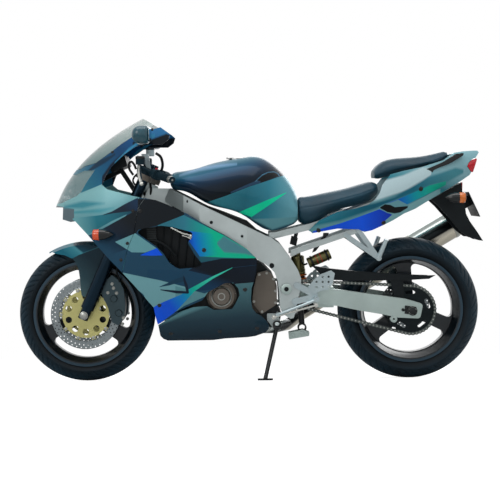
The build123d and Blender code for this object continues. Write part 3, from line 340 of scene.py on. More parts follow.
tank_drawing = [
    ([(-340, 1010), (240, 1010)], [(-340, 620), (240, 620)], 0,
     ((-100, 800), (215, 760), [(0, "2E7C8A"), (0.3, "226C7E"), (0.6, "2F8094"), (1, "6AA8B6")])),
    # the tank's dark navy top; its lighter teal at the very top edge is a painted highlight
    ([(-340, 1000), (-90, 1010), (60, 1010), (240, 950)],
     [(-340, 760), (-170, 785), (-90, 811), (9, 849), (95, 876), (141, 892), (174, 900), (240, 905)], 0,
     ((-20, 845), (-50, 965), [(0, ink), (0.30, "061828"), (0.55, "082A44"), (0.75, "104664"), (1, "2A7086")])),
    # painted highlight: a pale blue streak across the tank's dark top
    ([(-290, 905), (-200, 940), (-110, 951), (-40, 952)], [(-290, 899), (-200, 922), (-110, 936), (-40, 946)], 12,
     "6E9CC0"),
    ([(-66, 829), (9, 862), (49, 878), (60, 886)], [(-66, 822), (9, 850), (49, 862), (60, 866)], 3, "1E3E58"),
    ([(38, 874), (69, 903), (95, 914), (121, 917), (140, 908), (147, 897)],
     [(38, 872), (69, 878), (95, 880), (121, 888), (140, 893), (147, 895)], 0, "3B6A84"),
    ([(47, 879), (69, 897), (95, 910), (121, 912), (136, 905), (141, 895)],
     [(47, 876), (69, 872), (95, 880), (121, 888), (136, 893), (141, 893)], 0, "02070C"),
    ([(-33, 741), (74, 786), (173, 824)], [(-33, 739), (21, 720), (120, 785), (173, 822)], 0, "06D8A4"),
    ([(20, 718), (28, 711), (123, 713), (208, 717), (240, 719)], [(20, 640), (240, 640)], 6, "5F98A2"),
    ([(-340, 880), (-200, 800), (-100, 760), (20, 712), (110, 664), (230, 700)],
     [(-340, 860), (-200, 780), (-100, 742), (20, 694), (110, 640), (230, 640)], 9, "123F50"),
]
tail_drawing = [
    ([(250, 1060), (1040, 1060)], [(250, 560), (1040, 560)], 0,
     ((560, 700), (640, 980), [(0, "5E969E"), (0.3, "74AAB2"), (0.55, "2C7688"), (0.7, "3E8C9C"),
                               (1, "92C2CC")])),
    # painted highlight: a pale glare band on the tail beside the rider seat
    ([(470, 790), (589, 870), (678, 893), (763, 927), (800, 925)],
     [(470, 770), (561, 788), (650, 815), (740, 845), (800, 895)], 10, "C2DCE2"),
    ([(250, 700), (400, 745), (553, 775), (640, 800), (786, 884), (910, 924), (945, 916)],
     [(250, 670), (400, 700), (560, 752), (640, 785), (793, 850), (870, 860), (945, 900)], 12,
     ((300, 700), (900, 890), [(0, "1F7486"), (0.4, "125C72"), (0.7, "1C6C82"), (1, "4F98A6")])),
    ([(285, 655), (335, 670), (406, 690), (483, 716), (572, 748), (632, 722)],
     [(285, 648), (335, 655), (405, 664), (483, 655), (541, 650), (585, 670), (632, 700)], 0,
     ((300, 660), (620, 730), [(0, "0650E0"), (0.6, blue), (1, "0634B8")])),
    ([(600, 700), (640, 733), (692, 761), (828, 829), (842, 832)],
     [(600, 672), (640, 690), (692, 720), (828, 790), (842, 800)], 0, "7FB2B8"),
    ([(596, 770), (654, 790), (793, 848), (866, 866)], [(596, 735), (645, 745), (692, 766), (793, 815), (866, 850)],
     0, ((610, 750), (850, 850), [(0, "0640D0"), (0.25, "0668C8"), (0.5, "06A0B0"), (0.8, "10B89C"),
                                   (1, "1FB49A")])),
    ([(572, 758), (592, 770), (623, 777), (654, 788), (700, 764)],
     [(572, 750), (607, 731), (638, 726), (661, 731), (700, 757)], 3, "6AA2AC"),
    ([(576, 757), (596, 769), (620, 766), (640, 756), (696, 760)],
     [(576, 752), (607, 735), (638, 729), (664, 733), (696, 752)], 2, "02060A"),
]
guard_drawing = [
    ([(-880, 640), (-560, 640)], [(-880, 480), (-560, 480)], 0,
     ((-780, 560), (-740, 615), [(0, "1C7086"), (0.45, "3C8FA0"), (0.8, "5AA6B2"), (1, "3E8894")])),
    ([(-762, 612), (-679, 640), (-560, 640)], [(-762, 606), (-713, 567), (-640, 594), (-560, 600)], 10,
     ((-713, 570), (-690, 620), [(0, "0E4A60"), (0.5, "07303F"), (1, "06222F")])),
    ([(-768, 542), (-734, 560), (-644, 592), (-590, 590)], [(-768, 530), (-740, 340), (-700, 340), (-590, 520)], 0,
     ((-740, 400), (-650, 520), [(0, "4A686E"), (0.45, "2C4852"), (1, "122C38")])),
]


def draw(tree, side, drawing):
    """The areas of a drawing laid over each other, from the first to the last."""
    colour = None
    for upper, lower, soft, fill in drawing:
        paint = linear(fill) if isinstance(fill, str) else fade(tree, side, *fill)
        colour = paint if colour is None else over(tree, colour, stripe(tree, side, upper, lower, soft), paint)
    return colour


# %% [markdown]
# Metallic paint is three layers: a dark or light base, tiny aluminium flakes that glitter in it, and a
# glossy clear coat. The flakes are about a tenth of a millimetre, too fine to see here, so a Noise
# texture of 1.5 mm grains shifts the colour a little instead. The clear coat is the shader's own.

# %% Metallic paint
def metallic_paint(name, drawing, metal=0.25):
    """Sprayed ABS with a clear coat, coloured by a drawing in the side view."""
    material, tree = new_material(name)
    here = upright(tree)
    split = add_node(tree, "ShaderNodeSeparateXYZ", {0: here})
    side = split.outputs[0], split.outputs[2]
    colour = draw(tree, side, drawing)
    flakes = add_node(tree, "ShaderNodeTexNoise", {"Vector": here, "Scale": 1 / 0.0015, "Detail": 1.0}).outputs[0]
    glitter = add_node(tree, "ShaderNodeMapRange", {"Value": flakes, "From Min": 0.3, "From Max": 0.7,
                                                    "To Min": 0.93, "To Max": 1.07}).outputs[0]
    colour = add_node(tree, "ShaderNodeVectorMath", {0: colour, "Scale": glitter}, operation="SCALE").outputs[0]
    peel = add_node(tree, "ShaderNodeTexNoise", {"Vector": here, "Scale": 1 / 0.012, "Detail": 2.0}).outputs[0]
    skin = add_node(tree, "ShaderNodeBump", {"Height": peel, "Strength": 0.02, "Distance": 0.001}).outputs[0]
    finish_surface(tree, {"Base Color": colour, "Metallic": metal, "Roughness": 0.36, "Coat Weight": 0.22,
                          "Coat Roughness": 0.08, "Specular IOR Level": 0.12, "Normal": skin})
    return material


fairing_paint = metallic_paint("metallic_paint_fairing", fairing_drawing)
lower_paint = metallic_paint("metallic_paint_lower", lower_drawing)
tank_paint = metallic_paint("metallic_paint_tank", tank_drawing, metal=0.35)
tail_paint = metallic_paint("metallic_paint_tail", tail_drawing)
guard_paint = metallic_paint("metallic_paint_mudguard", guard_drawing)
print("paints ready")

# %% [markdown]
# The bare metals of the bike. Frame and swingarm are aluminium sheet and extrusion, brushed then lightly
# anodised. Engine covers and calipers are cast, so their skin is grainy. Stainless steel and chrome
# are the only mirrors. All of them get small differences in roughness, because handling and road dust
# never leave a metal evenly bright.

# %% Metals
def metal(name, code, rough=0.35, grain_mm=1.2, bump=0.03, streak=(1, 1, 1), metallic=1.0, dust=0.12,
          black_behind=None):
    """A metal whose roughness and height follow a noise of grains of that size, stretched along streak.
    Large soft patches darken it by up to dust, as handling and road dirt do. Behind the place black_behind,
    in metres along the bike, it is painted black."""
    material, tree = new_material(name)
    here = upright(tree)
    drawn = add_node(tree, "ShaderNodeVectorMath", {0: here, 1: streak}, operation="MULTIPLY").outputs[0]
    grain = add_node(tree, "ShaderNodeTexNoise", {"Vector": drawn, "Scale": 1000 / grain_mm,
                                                  "Detail": 3.0}).outputs[0]
    patch = add_node(tree, "ShaderNodeTexNoise", {"Vector": here, "Scale": 9.0, "Detail": 4.0}).outputs[0]
    level = add_node(tree, "ShaderNodeMapRange", {"Value": patch, "From Min": 0.3, "From Max": 0.7,
                                                  "To Min": 1 - dust, "To Max": 1 + dust / 2}).outputs[0]
    tint = add_node(tree, "ShaderNodeVectorMath", {0: linear(code)[:3], "Scale": level},
                    operation="SCALE").outputs[0]
    spread = add_node(tree, "ShaderNodeMapRange", {"Value": grain, "From Min": 0.25, "From Max": 0.75,
                                                   "To Min": rough * 0.8, "To Max": rough * 1.2}).outputs[0]
    relief = add_node(tree, "ShaderNodeBump", {"Height": grain, "Strength": bump, "Distance": 0.001}).outputs[0]
    if black_behind:
        along = add_node(tree, "ShaderNodeSeparateXYZ", {0: here}).outputs[0]
        painted = add_node(tree, "ShaderNodeMath", {0: along, 1: black_behind}, operation="GREATER_THAN").outputs[0]
        tint = add_node(tree, "ShaderNodeMix", {"Factor": painted, 6: tint, 7: linear("0B0F12")},
                        data_type="RGBA").outputs[2]
        metallic = add_node(tree, "ShaderNodeMath", {0: 1.0, 1: painted}, operation="SUBTRACT").outputs[0]
    finish_surface(tree, {"Base Color": tint, "Metallic": metallic, "Roughness": spread, "Normal": relief})
    return material


brushed_frame = metal("brushed_anodised_aluminium", "C2CCCC", 0.42, 1.6, 0.02, (0.12, 1, 1), metallic=0.75)
subframe_alloy = metal("brushed_aluminium_subframe", "B8C2C2", 0.42, 1.6, 0.02, (0.12, 1, 1), black_behind=0.745)
swingarm_alloy = metal("satin_aluminium_swingarm", "B6C6C2", 0.40, 1.6, 0.02, (0.15, 1, 1), metallic=0.75)
cast_alloy = metal("cast_aluminium", "8E999A", 0.5, 2.0, 0.25)
fork_alloy = metal("anodised_aluminium_fork", "0C2230", 0.25, 1.4, 0.02, metallic=0.8)
cover_casting = metal("cast_magnesium_cover", "6E675F", 0.5, 2.2, 0.3, metallic=0.6)
block_casting = metal("painted_engine_casting", "2E3233", 0.55, 2.4, 0.35, metallic=0.5)
caliper_alloy = metal("cast_caliper_alloy", "3A4A50", 0.42, 1.8, 0.25, metallic=0.7)
polished_steel = metal("polished_stainless_steel", "D2D2CC", 0.14, 1.2, 0.01, (0.1, 1, 1))
plated_steel = metal("zinc_plated_steel", "A9ABA6", 0.3, 1.4, 0.05)
chrome = metal("hard_chrome", "DADCDC", 0.08, 1.0, 0.0, dust=0.04)
drilled_steel = metal("ground_brake_steel", "8F979A", 0.33, 1.0, 0.06)
gold_alloy = metal("gold_anodised_carrier", "CCC684", 0.36, 1.6, 0.06, metallic=0.7)
rest_alloy = metal("satin_aluminium_rests", "B9C8CC", 0.32, 1.4, 0.03, metallic=0.85)
sprocket_steel = metal("hardened_sprocket_steel", "23282A", 0.4, 1.6, 0.1)
chain_steel = metal("oiled_chain_steel", "5C6260", 0.35, 1.4, 0.1, dust=0.3)
plate_steel = metal("painted_steel_black", "15191B", 0.45, 2.0, 0.15, metallic=0.3)

# %% [markdown]
# The wheels are cast aluminium under dark blue-black paint. The outer lips of the rims, where the paint is smooth,
# carry a painted highlight, a lighter and bluer band, and the webs of the spokes stay darker.


# %% Painted wheel castings
def wheel_paint(name, centre):
    """Dark paint with a painted highlight within 18 mm of the rim's lip: a little bluer and lighter there, by distance
    from the axle.
    """
    material, tree = new_material(name)
    here = upright(tree)
    spoke = add_node(tree, "ShaderNodeVectorMath", {0: here, 1: (centre / 1000).tolist()},
                     operation="SUBTRACT").outputs[0]
    flat = add_node(tree, "ShaderNodeVectorMath", {0: spoke, 1: (1, 0, 1)}, operation="MULTIPLY").outputs[0]
    reach = add_node(tree, "ShaderNodeVectorMath", {0: flat}, operation="LENGTH").outputs["Value"]
    # painted highlight on the rim's lip
    lip = add_node(tree, "ShaderNodeMapRange", {"Value": reach, "From Min": 0.217, "From Max": 0.2225}).outputs[0]
    grain = add_node(tree, "ShaderNodeTexNoise", {"Vector": here, "Scale": 1 / 0.0025, "Detail": 2.0}).outputs[0]
    tint = add_node(tree, "ShaderNodeMix", {"Factor": lip, 6: linear("08141C"), 7: linear("123648")},
                    data_type="RGBA").outputs[2]
    gloss = add_node(tree, "ShaderNodeMapRange", {"Value": grain, "To Min": 0.26, "To Max": 0.4}).outputs[0]
    relief = add_node(tree, "ShaderNodeBump", {"Height": grain, "Strength": 0.08, "Distance": 0.001}).outputs[0]
    finish_surface(tree, {"Base Color": tint, "Metallic": 0.4, "Roughness": gloss, "Coat Weight": 0.5,
                          "Coat Roughness": 0.12, "Normal": relief})
    return material


front_wheel_paint = wheel_paint("cast_wheel_paint_front", front_axle)
rear_wheel_paint = wheel_paint("cast_wheel_paint_rear", rear_axle)

# %% [markdown]
# Black parts are rarely black. Moulded ABS has a fine spark-eroded grain that greys it where light
# grazes, rubber is matt with a dusty bloom, and both pick up the colour of the room.


# %% Plastics and rubber
def moulded(name, code, rough=0.45, grain_mm=1.0, bump=0.12, coat=0.0):
    """A moulded plastic or rubber: one colour with a soft bloom, and a pebbled grain of that size."""
    material, tree = new_material(name)
    here = upright(tree)
    pebble = add_node(tree, "ShaderNodeTexVoronoi", {"Vector": here, "Scale": 1000 / grain_mm}).outputs[0]
    bloom = add_node(tree, "ShaderNodeTexNoise", {"Vector": here, "Scale": 14.0, "Detail": 3.0}).outputs[0]
    level = add_node(tree, "ShaderNodeMapRange", {"Value": bloom, "From Min": 0.3, "From Max": 0.7,
                                                  "To Min": 0.85, "To Max": 1.2}).outputs[0]
    tint = add_node(tree, "ShaderNodeVectorMath", {0: linear(code)[:3], "Scale": level},
                    operation="SCALE").outputs[0]
    relief = add_node(tree, "ShaderNodeBump", {"Height": pebble, "Strength": bump, "Distance": 0.0005}).outputs[0]
    finish_surface(tree, {"Base Color": tint, "Roughness": rough, "Coat Weight": coat, "Coat Roughness": 0.1,
                          "Specular IOR Level": 0.18, "Normal": relief})
    return material


black_plastic = moulded("moulded_abs_black", "12181B", 0.4, 1.2, 0.1)
gloss_plastic = moulded("gloss_abs_black", "0A0F12", 0.2, 1.2, 0.02, coat=0.6)
grey_plastic = moulded("moulded_nylon_grey", "58707A", 0.45, 1.4, 0.12)
hose_rubber = moulded("hose_rubber", "0D1214", 0.5, 1.6, 0.15)
grip_rubber = moulded("grip_rubber", "0E2630", 0.6, 1.6, 0.3)
intake_plastic = moulded("moulded_abs_intake", "6E8A92", 0.5, 1.4, 0.12)
mirror_plastic = moulded("mirror_shell_paint", "1E4E5C", 0.3, 1.2, 0.02, coat=0.8)
red_plastic = moulded("red_switch_plastic", "D8303C", 0.4, 1.2, 0.05)
spring_paint = moulded("orange_spring_paint", "D8690A", 0.32, 1.6, 0.05, coat=0.5)

# %% [markdown]
# Lenses are acrylic, 3 mm thick, with a pattern of small pads moulded inside. Instead of cutting the
# pads, a Voronoi bump bends the highlights as they do. Clear parts use Alpha, which shows what lies
# behind them in every viewer, and the screen gets smokier towards its base.


# %% Clear and coloured plastics
def lens(name, code, alpha, rough=0.06, pads_mm=9.0, bump=0.25):
    """Acrylic: mostly see-through or dyed, with moulded pads of that size."""
    material, tree = new_material(name)
    here = upright(tree)
    pads = add_node(tree, "ShaderNodeTexVoronoi", {"Vector": here, "Scale": 1000 / pads_mm}).outputs[0]
    shade = add_node(tree, "ShaderNodeMapRange", {"Value": pads, "To Min": 1.1, "To Max": 0.75}).outputs[0]
    tint = add_node(tree, "ShaderNodeVectorMath", {0: linear(code)[:3], "Scale": shade},
                    operation="SCALE").outputs[0]
    relief = add_node(tree, "ShaderNodeBump", {"Height": pads, "Strength": bump, "Distance": 0.001}).outputs[0]
    finish_surface(tree, {"Base Color": tint, "Roughness": rough, "IOR": 1.49, "Alpha": alpha, "Normal": relief,
                          "Coat Weight": 0.6, "Coat Roughness": 0.03})
    return material


clear_lens = lens("clear_acrylic_headlamp", "86AEB2", 0.55, pads_mm=160, bump=0.0)
red_lens = lens("red_acrylic", "E3102A", 1.0, 0.12)
orange_lens = lens("orange_acrylic", "F0500E", 1.0, 0.12)
amber_lens = lens("amber_acrylic", "F07A14", 1.0, 0.12)
lamp_reflector = metal("aluminised_reflector", "E6E2E2", 0.18, 1.4, 0.01, dust=0.04)

screen_acrylic, tree = new_material("smoked_acrylic_screen")
here = upright(tree)
height = add_node(tree, "ShaderNodeSeparateXYZ", {0: here})
rise = add_node(tree, "ShaderNodeMapRange", {"Value": height.outputs[2], "From Min": 0.93,
                                             "From Max": 1.12}).outputs[0]
smoke = add_node(tree, "ShaderNodeValToRGB", {0: rise})
smoke.color_ramp.elements[0].color = linear("4C7C80")
smoke.color_ramp.elements[1].color = linear("BFD0CC")
thin = add_node(tree, "ShaderNodeMapRange", {"Value": rise, "To Min": 0.86, "To Max": 0.42}).outputs[0]
wave = add_node(tree, "ShaderNodeTexNoise", {"Vector": here, "Scale": 6.0}).outputs[0]
flow = add_node(tree, "ShaderNodeBump", {"Height": wave, "Strength": 0.04, "Distance": 0.002}).outputs[0]
finish_surface(tree, {"Base Color": smoke.outputs[0], "Roughness": 0.05, "IOR": 1.49, "Alpha": thin,
                      "Normal": flow, "Coat Weight": 0.5, "Coat Roughness": 0.03})

# %% [markdown]
# The radiator is a core of thin fins between two black tanks. The fins are 2 mm apart, drawn here as
# a wave of light and dark that the bump follows.

# %% Radiator core
radiator_core, tree = new_material("radiator_core_fins")
here = upright(tree)
split = add_node(tree, "ShaderNodeSeparateXYZ", {0: here})
fins = add_node(tree, "ShaderNodeMath", {0: split.outputs[1], 1: 2 * math.pi / 0.004}, operation="MULTIPLY")
fins = add_node(tree, "ShaderNodeMath", {0: fins.outputs[0]}, operation="SINE").outputs[0]
rows = add_node(tree, "ShaderNodeMath", {0: split.outputs[2], 1: 2 * math.pi / 0.010}, operation="MULTIPLY")
rows = add_node(tree, "ShaderNodeMath", {0: rows.outputs[0]}, operation="SINE").outputs[0]
relief = add_node(tree, "ShaderNodeMath", {0: fins, 1: rows}, operation="ADD").outputs[0]
dark = add_node(tree, "ShaderNodeMapRange", {"Value": relief, "From Min": -2.0, "From Max": 2.0}).outputs[0]
tint = add_node(tree, "ShaderNodeMix", {"Factor": dark, 6: linear("0B0E10"), 7: linear("3A4042")},
                data_type="RGBA").outputs[2]
bump = add_node(tree, "ShaderNodeBump", {"Height": relief, "Strength": 0.4, "Distance": 0.001}).outputs[0]
finish_surface(tree, {"Base Color": tint, "Metallic": 0.6, "Roughness": 0.5, "Normal": bump})


# %% [markdown]
# The silencer is a rolled sheet of stainless steel, which stretches reflections into long bands along it. Here those
# bands are painted into its colour as painted reflections, which is why it looks striped: the floor, the wall and the
# lamp each make one.

# %% Silencer steel
silencer_steel, tree = new_material("rolled_stainless_silencer")
here = upright(tree)
along = np.array([math.cos(math.radians(30)), 0, math.sin(math.radians(30))])
tilt_back = add_node(tree, "ShaderNodeMapping", {"Vector": here, "Rotation": (0, math.radians(30), 0)}).outputs[0]
split = add_node(tree, "ShaderNodeSeparateXYZ", {0: tilt_back})
axis_height = float(-0.500 * math.sin(math.radians(30)) + 0.409 * math.cos(math.radians(30)))
off_axis = add_node(tree, "ShaderNodeMath", {0: split.outputs[2], 1: axis_height}, operation="SUBTRACT").outputs[0]
painted_reflection_bands = add_node(tree, "ShaderNodeMapRange", {"Value": off_axis, "From Min": -0.062, "From Max": 0.062}).outputs[0]
ramp = add_node(tree, "ShaderNodeValToRGB", {0: painted_reflection_bands})
# painted reflections across the silencer: pale bands of the lamp and floor, and a dark band of the wall
stops = [(0.0, "A9A596"), (0.30, "DAD3C2"), (0.42, "B8B4A8"), (0.47, "14181A"), (0.66, "1C2224"), (0.72, "60696B"),
         (0.80, "C9CFCC"), (1.0, "8B9693")]
while len(ramp.color_ramp.elements) < len(stops):
    ramp.color_ramp.elements.new(0.5)
for element, (spot, code) in zip(ramp.color_ramp.elements, stops):
    element.position = spot
    element.color = linear(code)
brush = add_node(tree, "ShaderNodeVectorMath", {0: tilt_back, 1: (30, 900, 900)}, operation="MULTIPLY").outputs[0]
grain = add_node(tree, "ShaderNodeTexNoise", {"Vector": brush, "Scale": 1.0}).outputs[0]
spread = add_node(tree, "ShaderNodeMapRange", {"Value": grain, "To Min": 0.14, "To Max": 0.26}).outputs[0]
finish_surface(tree, {"Base Color": ramp.outputs[0], "Metallic": 0.85, "Roughness": spread})

# %% [markdown]
# Each CAD solid now gets its finish.

# %% Finishes on the solids
finishes = {
    "front_rim": front_wheel_paint, "rear_rim": rear_wheel_paint, "front_disc_carriers": gold_alloy,
    "rear_sprocket": sprocket_steel, "fork_legs": fork_alloy, "fork_yokes": cover_casting,
    "handlebars": grip_rubber, "bar_controls": grip_rubber, "front_mudguard": guard_paint,
    "front_calipers": caliper_alloy, "front_axle": plated_steel, "main_frame": brushed_frame,
    "engine": block_casting, "engine_covers": cover_casting, "radiator": radiator_core,
    "exhaust": silencer_steel, "swingarm": swingarm_alloy, "rear_axle": plated_steel,
    "rear_shock": plated_steel, "chain_guard": black_plastic, "rear_caliper": caliper_alloy,
    "fuel_tank": tank_paint, "fuel_cap": chrome, "tail_cowl": tail_paint, "tail_lamp": red_lens,
    "subframe": subframe_alloy, "rear_mudguard": black_plastic, "side_fairings": fairing_paint,
    "lower_fairing": lower_paint, "nose_cowl": fairing_paint, "windscreen": screen_acrylic,
    "headlamp": clear_lens, "lamp_body": lamp_reflector, "dials": black_plastic, "mirrors": mirror_plastic,
    "turn_lamps": gloss_plastic, "foot_rests": rest_alloy, "side_stand": plate_steel,
    "front_tyre": hose_rubber, "rear_tyre": hose_rubber, "front_brake_discs": drilled_steel,
    "rear_brake_disc": drilled_steel, "chain": chain_steel, "rider_seat": grey_plastic,
    "pillion_seat": grey_plastic,
}
for node, material in finishes.items():
    mesh = frame["nodes"][node].data
    mesh.materials.clear()
    mesh.materials.append(material)
print("finished", len(finishes), "solids of", len(frame["nodes"]))

# %% [markdown]
# New pieces are surfaces on a grid of numbers. Three ways of making one cover nearly all of a bike:
# a profile turned round an axis, a circle carried along a path, and a flat outline given a thickness.
# Each returns points and faces, so that many small parts can be joined in one mesh before Blender
# sees them.


# %% Shapes from arrays
def grid_faces(rows, columns, closed_rows=False, closed_columns=False):
    """Quads between neighbouring points of a grid. A closed direction joins its last line to its first."""
    i, j = np.meshgrid(np.arange(rows - (not closed_rows)), np.arange(columns - (not closed_columns)),
                       indexing="ij")
    ahead, beside = (i + 1) % rows, (j + 1) % columns
    corners = (i * columns + j, i * columns + beside, ahead * columns + beside, ahead * columns + j)
    return np.stack(corners, -1).reshape(-1, 4).tolist()


def unit(vector):
    """A vector divided by its length."""
    vector = np.asarray(vector, float)
    return vector / np.linalg.norm(vector)


def square_to(axis):
    """Two directions square to an axis and to each other."""
    axis = unit(axis)
    first = unit(np.cross((0, 0, 1) if abs(axis[2]) < 0.9 else (1, 0, 0), axis))
    return first, np.cross(axis, first)


def turned(profile, centre, axis, steps=32, ring=False):
    """A profile of (distance from the axis, distance along it), turned round: each point becomes
    centre + along * axis + out * (cos a * u + sin a * v). A ring's profile is closed."""
    profile, u_v = np.asarray(profile, float), square_to(axis)
    angle = np.linspace(0, 2 * np.pi, steps, endpoint=False)
    circle = np.cos(angle)[:, None] * u_v[0] + np.sin(angle)[:, None] * u_v[1]
    points = (np.asarray(centre, float) + profile[None, :, 0, None] * circle[:, None, :]
              + profile[None, :, 1, None] * unit(axis))
    return points.reshape(-1, 3), grid_faces(steps, len(profile), True, ring)


def smooth_line(knots, steps=10):
    """A curve through the knots: between two of them it is the cubic that leaves and arrives parallel to
    the lines joining the knots on either side."""
    knots = np.asarray(knots, float)
    knots = np.vstack((2 * knots[0] - knots[1], knots, 2 * knots[-1] - knots[-2]))
    a, b, c, d = (knots[k:len(knots) - 3 + k, None, :] for k in range(4))
    t = np.linspace(0, 1, steps, endpoint=False)[None, :, None]
    curve = 0.5 * (2 * b + (c - a) * t + (2 * a - 5 * b + 4 * c - d) * t ** 2
                   + (3 * b - a - 3 * c + d) * t ** 3)
    return np.vstack((curve.reshape(-1, knots.shape[1]), knots[-2]))


def tube(path, radius, sides=12):
    """A circle carried along a path and closed at both ends: each point is path + r (cos a * u + sin a * v),
    where u is square to the path and to the direction that the path follows least."""
    path = np.asarray(path, float)
    run = np.gradient(path, axis=0)
    run /= np.linalg.norm(run, axis=1, keepdims=True)
    least = np.eye(3)[np.argmin(np.abs(run).max(axis=0))]
    u = np.cross(run, least)
    u /= np.linalg.norm(u, axis=1, keepdims=True)
    v = np.cross(run, u)
    radius = np.broadcast_to(radius, len(path)).astype(float)
    path, u, v = (np.vstack((line[:1], line, line[-1:])) for line in (path, u, v))
    radius = np.concatenate(([0], radius, [0]))[:, None, None]
    angle = np.linspace(0, 2 * np.pi, sides, endpoint=False)[None, :, None]
    points = path[:, None, :] + radius * (np.cos(angle) * u[:, None, :] + np.sin(angle) * v[:, None, :])
    return points.reshape(-1, 3), grid_faces(len(path), sides, False, True)


def slab(outline, near, far, mirrored=False):
    """A side-view outline of (x, z) given a thickness between two distances to the left of the centre, or to
    the right when mirrored: both faces, and a wall between them."""
    outline = np.asarray(outline, float)
    count, sign = len(outline), 1 if mirrored else -1
    points = np.vstack([np.column_stack((outline[:, 0], np.full(count, sign * y), outline[:, 1]))
                        for y in (near, far)])
    faces = [list(range(count)), list(range(2 * count - 1, count - 1, -1))]
    return points, faces + [[k, (k + 1) % count, (k + 1) % count + count, k + count] for k in range(count)]


def joined(*shapes):
    """Several shapes as one: their points in one list, their faces renumbered."""
    points, faces, base = [], [], 0
    for shape_points, shape_faces in shapes:
        points.append(shape_points)
        faces += [[base + corner for corner in face] for face in shape_faces]
        base += len(shape_points)
    return np.concatenate(points), faces


def flipped(shape):
    """The mirror image on the other side of the bike."""
    points, faces = shape
    return points * (1, -1, 1), [face[::-1] for face in faces]


def both_sides(shape):
    """A shape and its mirror image."""
    return joined(shape, flipped(shape))


def add_piece(name, shape, material, body, bevel=0.0, smooth=35, replaces=()):
    """Makes the mesh, welds it, points its faces outwards, parks it and hands it to the frame."""
    points, faces = shape
    mesh = bpy.data.meshes.new(name)
    mesh.from_pydata(park(points).tolist(), [], faces)
    edit = bmesh.new()
    edit.from_mesh(mesh)
    bmesh.ops.remove_doubles(edit, verts=edit.verts, dist=1e-6)
    bmesh.ops.recalc_face_normals(edit, faces=edit.faces)
    edit.to_mesh(mesh)
    edit.free()
    mesh.shade_smooth()
    mesh.set_sharp_from_angle(angle=math.radians(smooth))
    piece = bpy.data.objects.new(name, mesh)
    bpy.context.scene.collection.objects.link(piece)
    mesh.materials.append(material)
    if bevel:
        edge = piece.modifiers.new("bevel", "BEVEL")
        edge.width, edge.segments, edge.limit_method = bevel / 1000, 2, "ANGLE"
        edge.angle_limit = math.radians(35)
    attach(piece, body)
    if replaces:
        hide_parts(*replaces)
    return piece


# %% [markdown]
# A sport tyre is nearly half a circle across, so that the bike can lean. Its grooves leave the middle
# free and sweep back over the shoulders. Here the section is an arc through crown and shoulders, with
# a bulged wall below, and the grooves are pressed into the same grid: where a groove runs, the
# surface goes in by its depth. The crown is drawn in a little, so that the leaning tyre just reaches
# the floor.

# %% Tyres
def tyre(axle, radius, width, rim_half, drop, groove_count, steps=720):
    """Section: up the left wall, round the tread's arc and down the right wall, as r(s) and y(s). The tread's
    arc has the radius a = (half^2 + drop^2) / (2 drop), the wall bows out between the shoulder and the
    rim's flange. Grooves are where a saw-tooth round the tyre, shifted by the place across it, passes its
    middle; there the surface goes in along its normal."""
    half, flange, bead = width / 2, 231.0, 221.0
    arc = (half ** 2 + drop ** 2) / (2 * drop)
    crown = radius - arc * (1 / math.cos(lean) - 1)
    reach = math.atan2(half, arc - drop)
    across = np.linspace(-reach, reach, 61)
    tread_y, tread_r = arc * np.sin(across), crown - arc + arc * np.cos(across)
    down = np.linspace(0, 1, 12)[1:]
    slope = (half - rim_half) / (radius - drop - flange)
    wall_r = np.append(tread_r[-1] + (flange - tread_r[-1]) * down, bead)
    wall_y = np.append(half + (rim_half - half) * down ** 1.6, rim_half - slope * (flange - bead))
    section_y = np.concatenate((-wall_y[::-1], tread_y, wall_y))
    section_r = np.concatenate((wall_r[::-1], tread_r, wall_r))
    share = np.concatenate((np.full(12, 2.0), np.abs(across) / reach, np.full(12, 2.0)))
    right = section_y > 0
    turn = np.arange(steps)[:, None] / steps
    swept = turn * groove_count + share * 0.8 * (1 + 0.35 * share) + 0.5 * right
    long_groove = (np.abs(swept % 1 - 0.5) < 0.075) & (share > 0.16) & (share < 0.93)
    short_groove = (np.abs((swept + 0.45) % 1 - 0.5) < 0.07) & (share > 0.55) & (share < 0.97)
    depth = 3.4 * (long_groove | short_groove)
    r = section_r - depth * (section_r - crown + arc) / arc
    y = section_y - depth * section_y / arc
    angle = 2 * np.pi * turn
    points = np.stack((axle[0] + r * np.cos(angle), y, axle[2] + r * np.sin(angle)), -1)
    return points.reshape(-1, 3), grid_faces(steps, len(section_r), True, True)


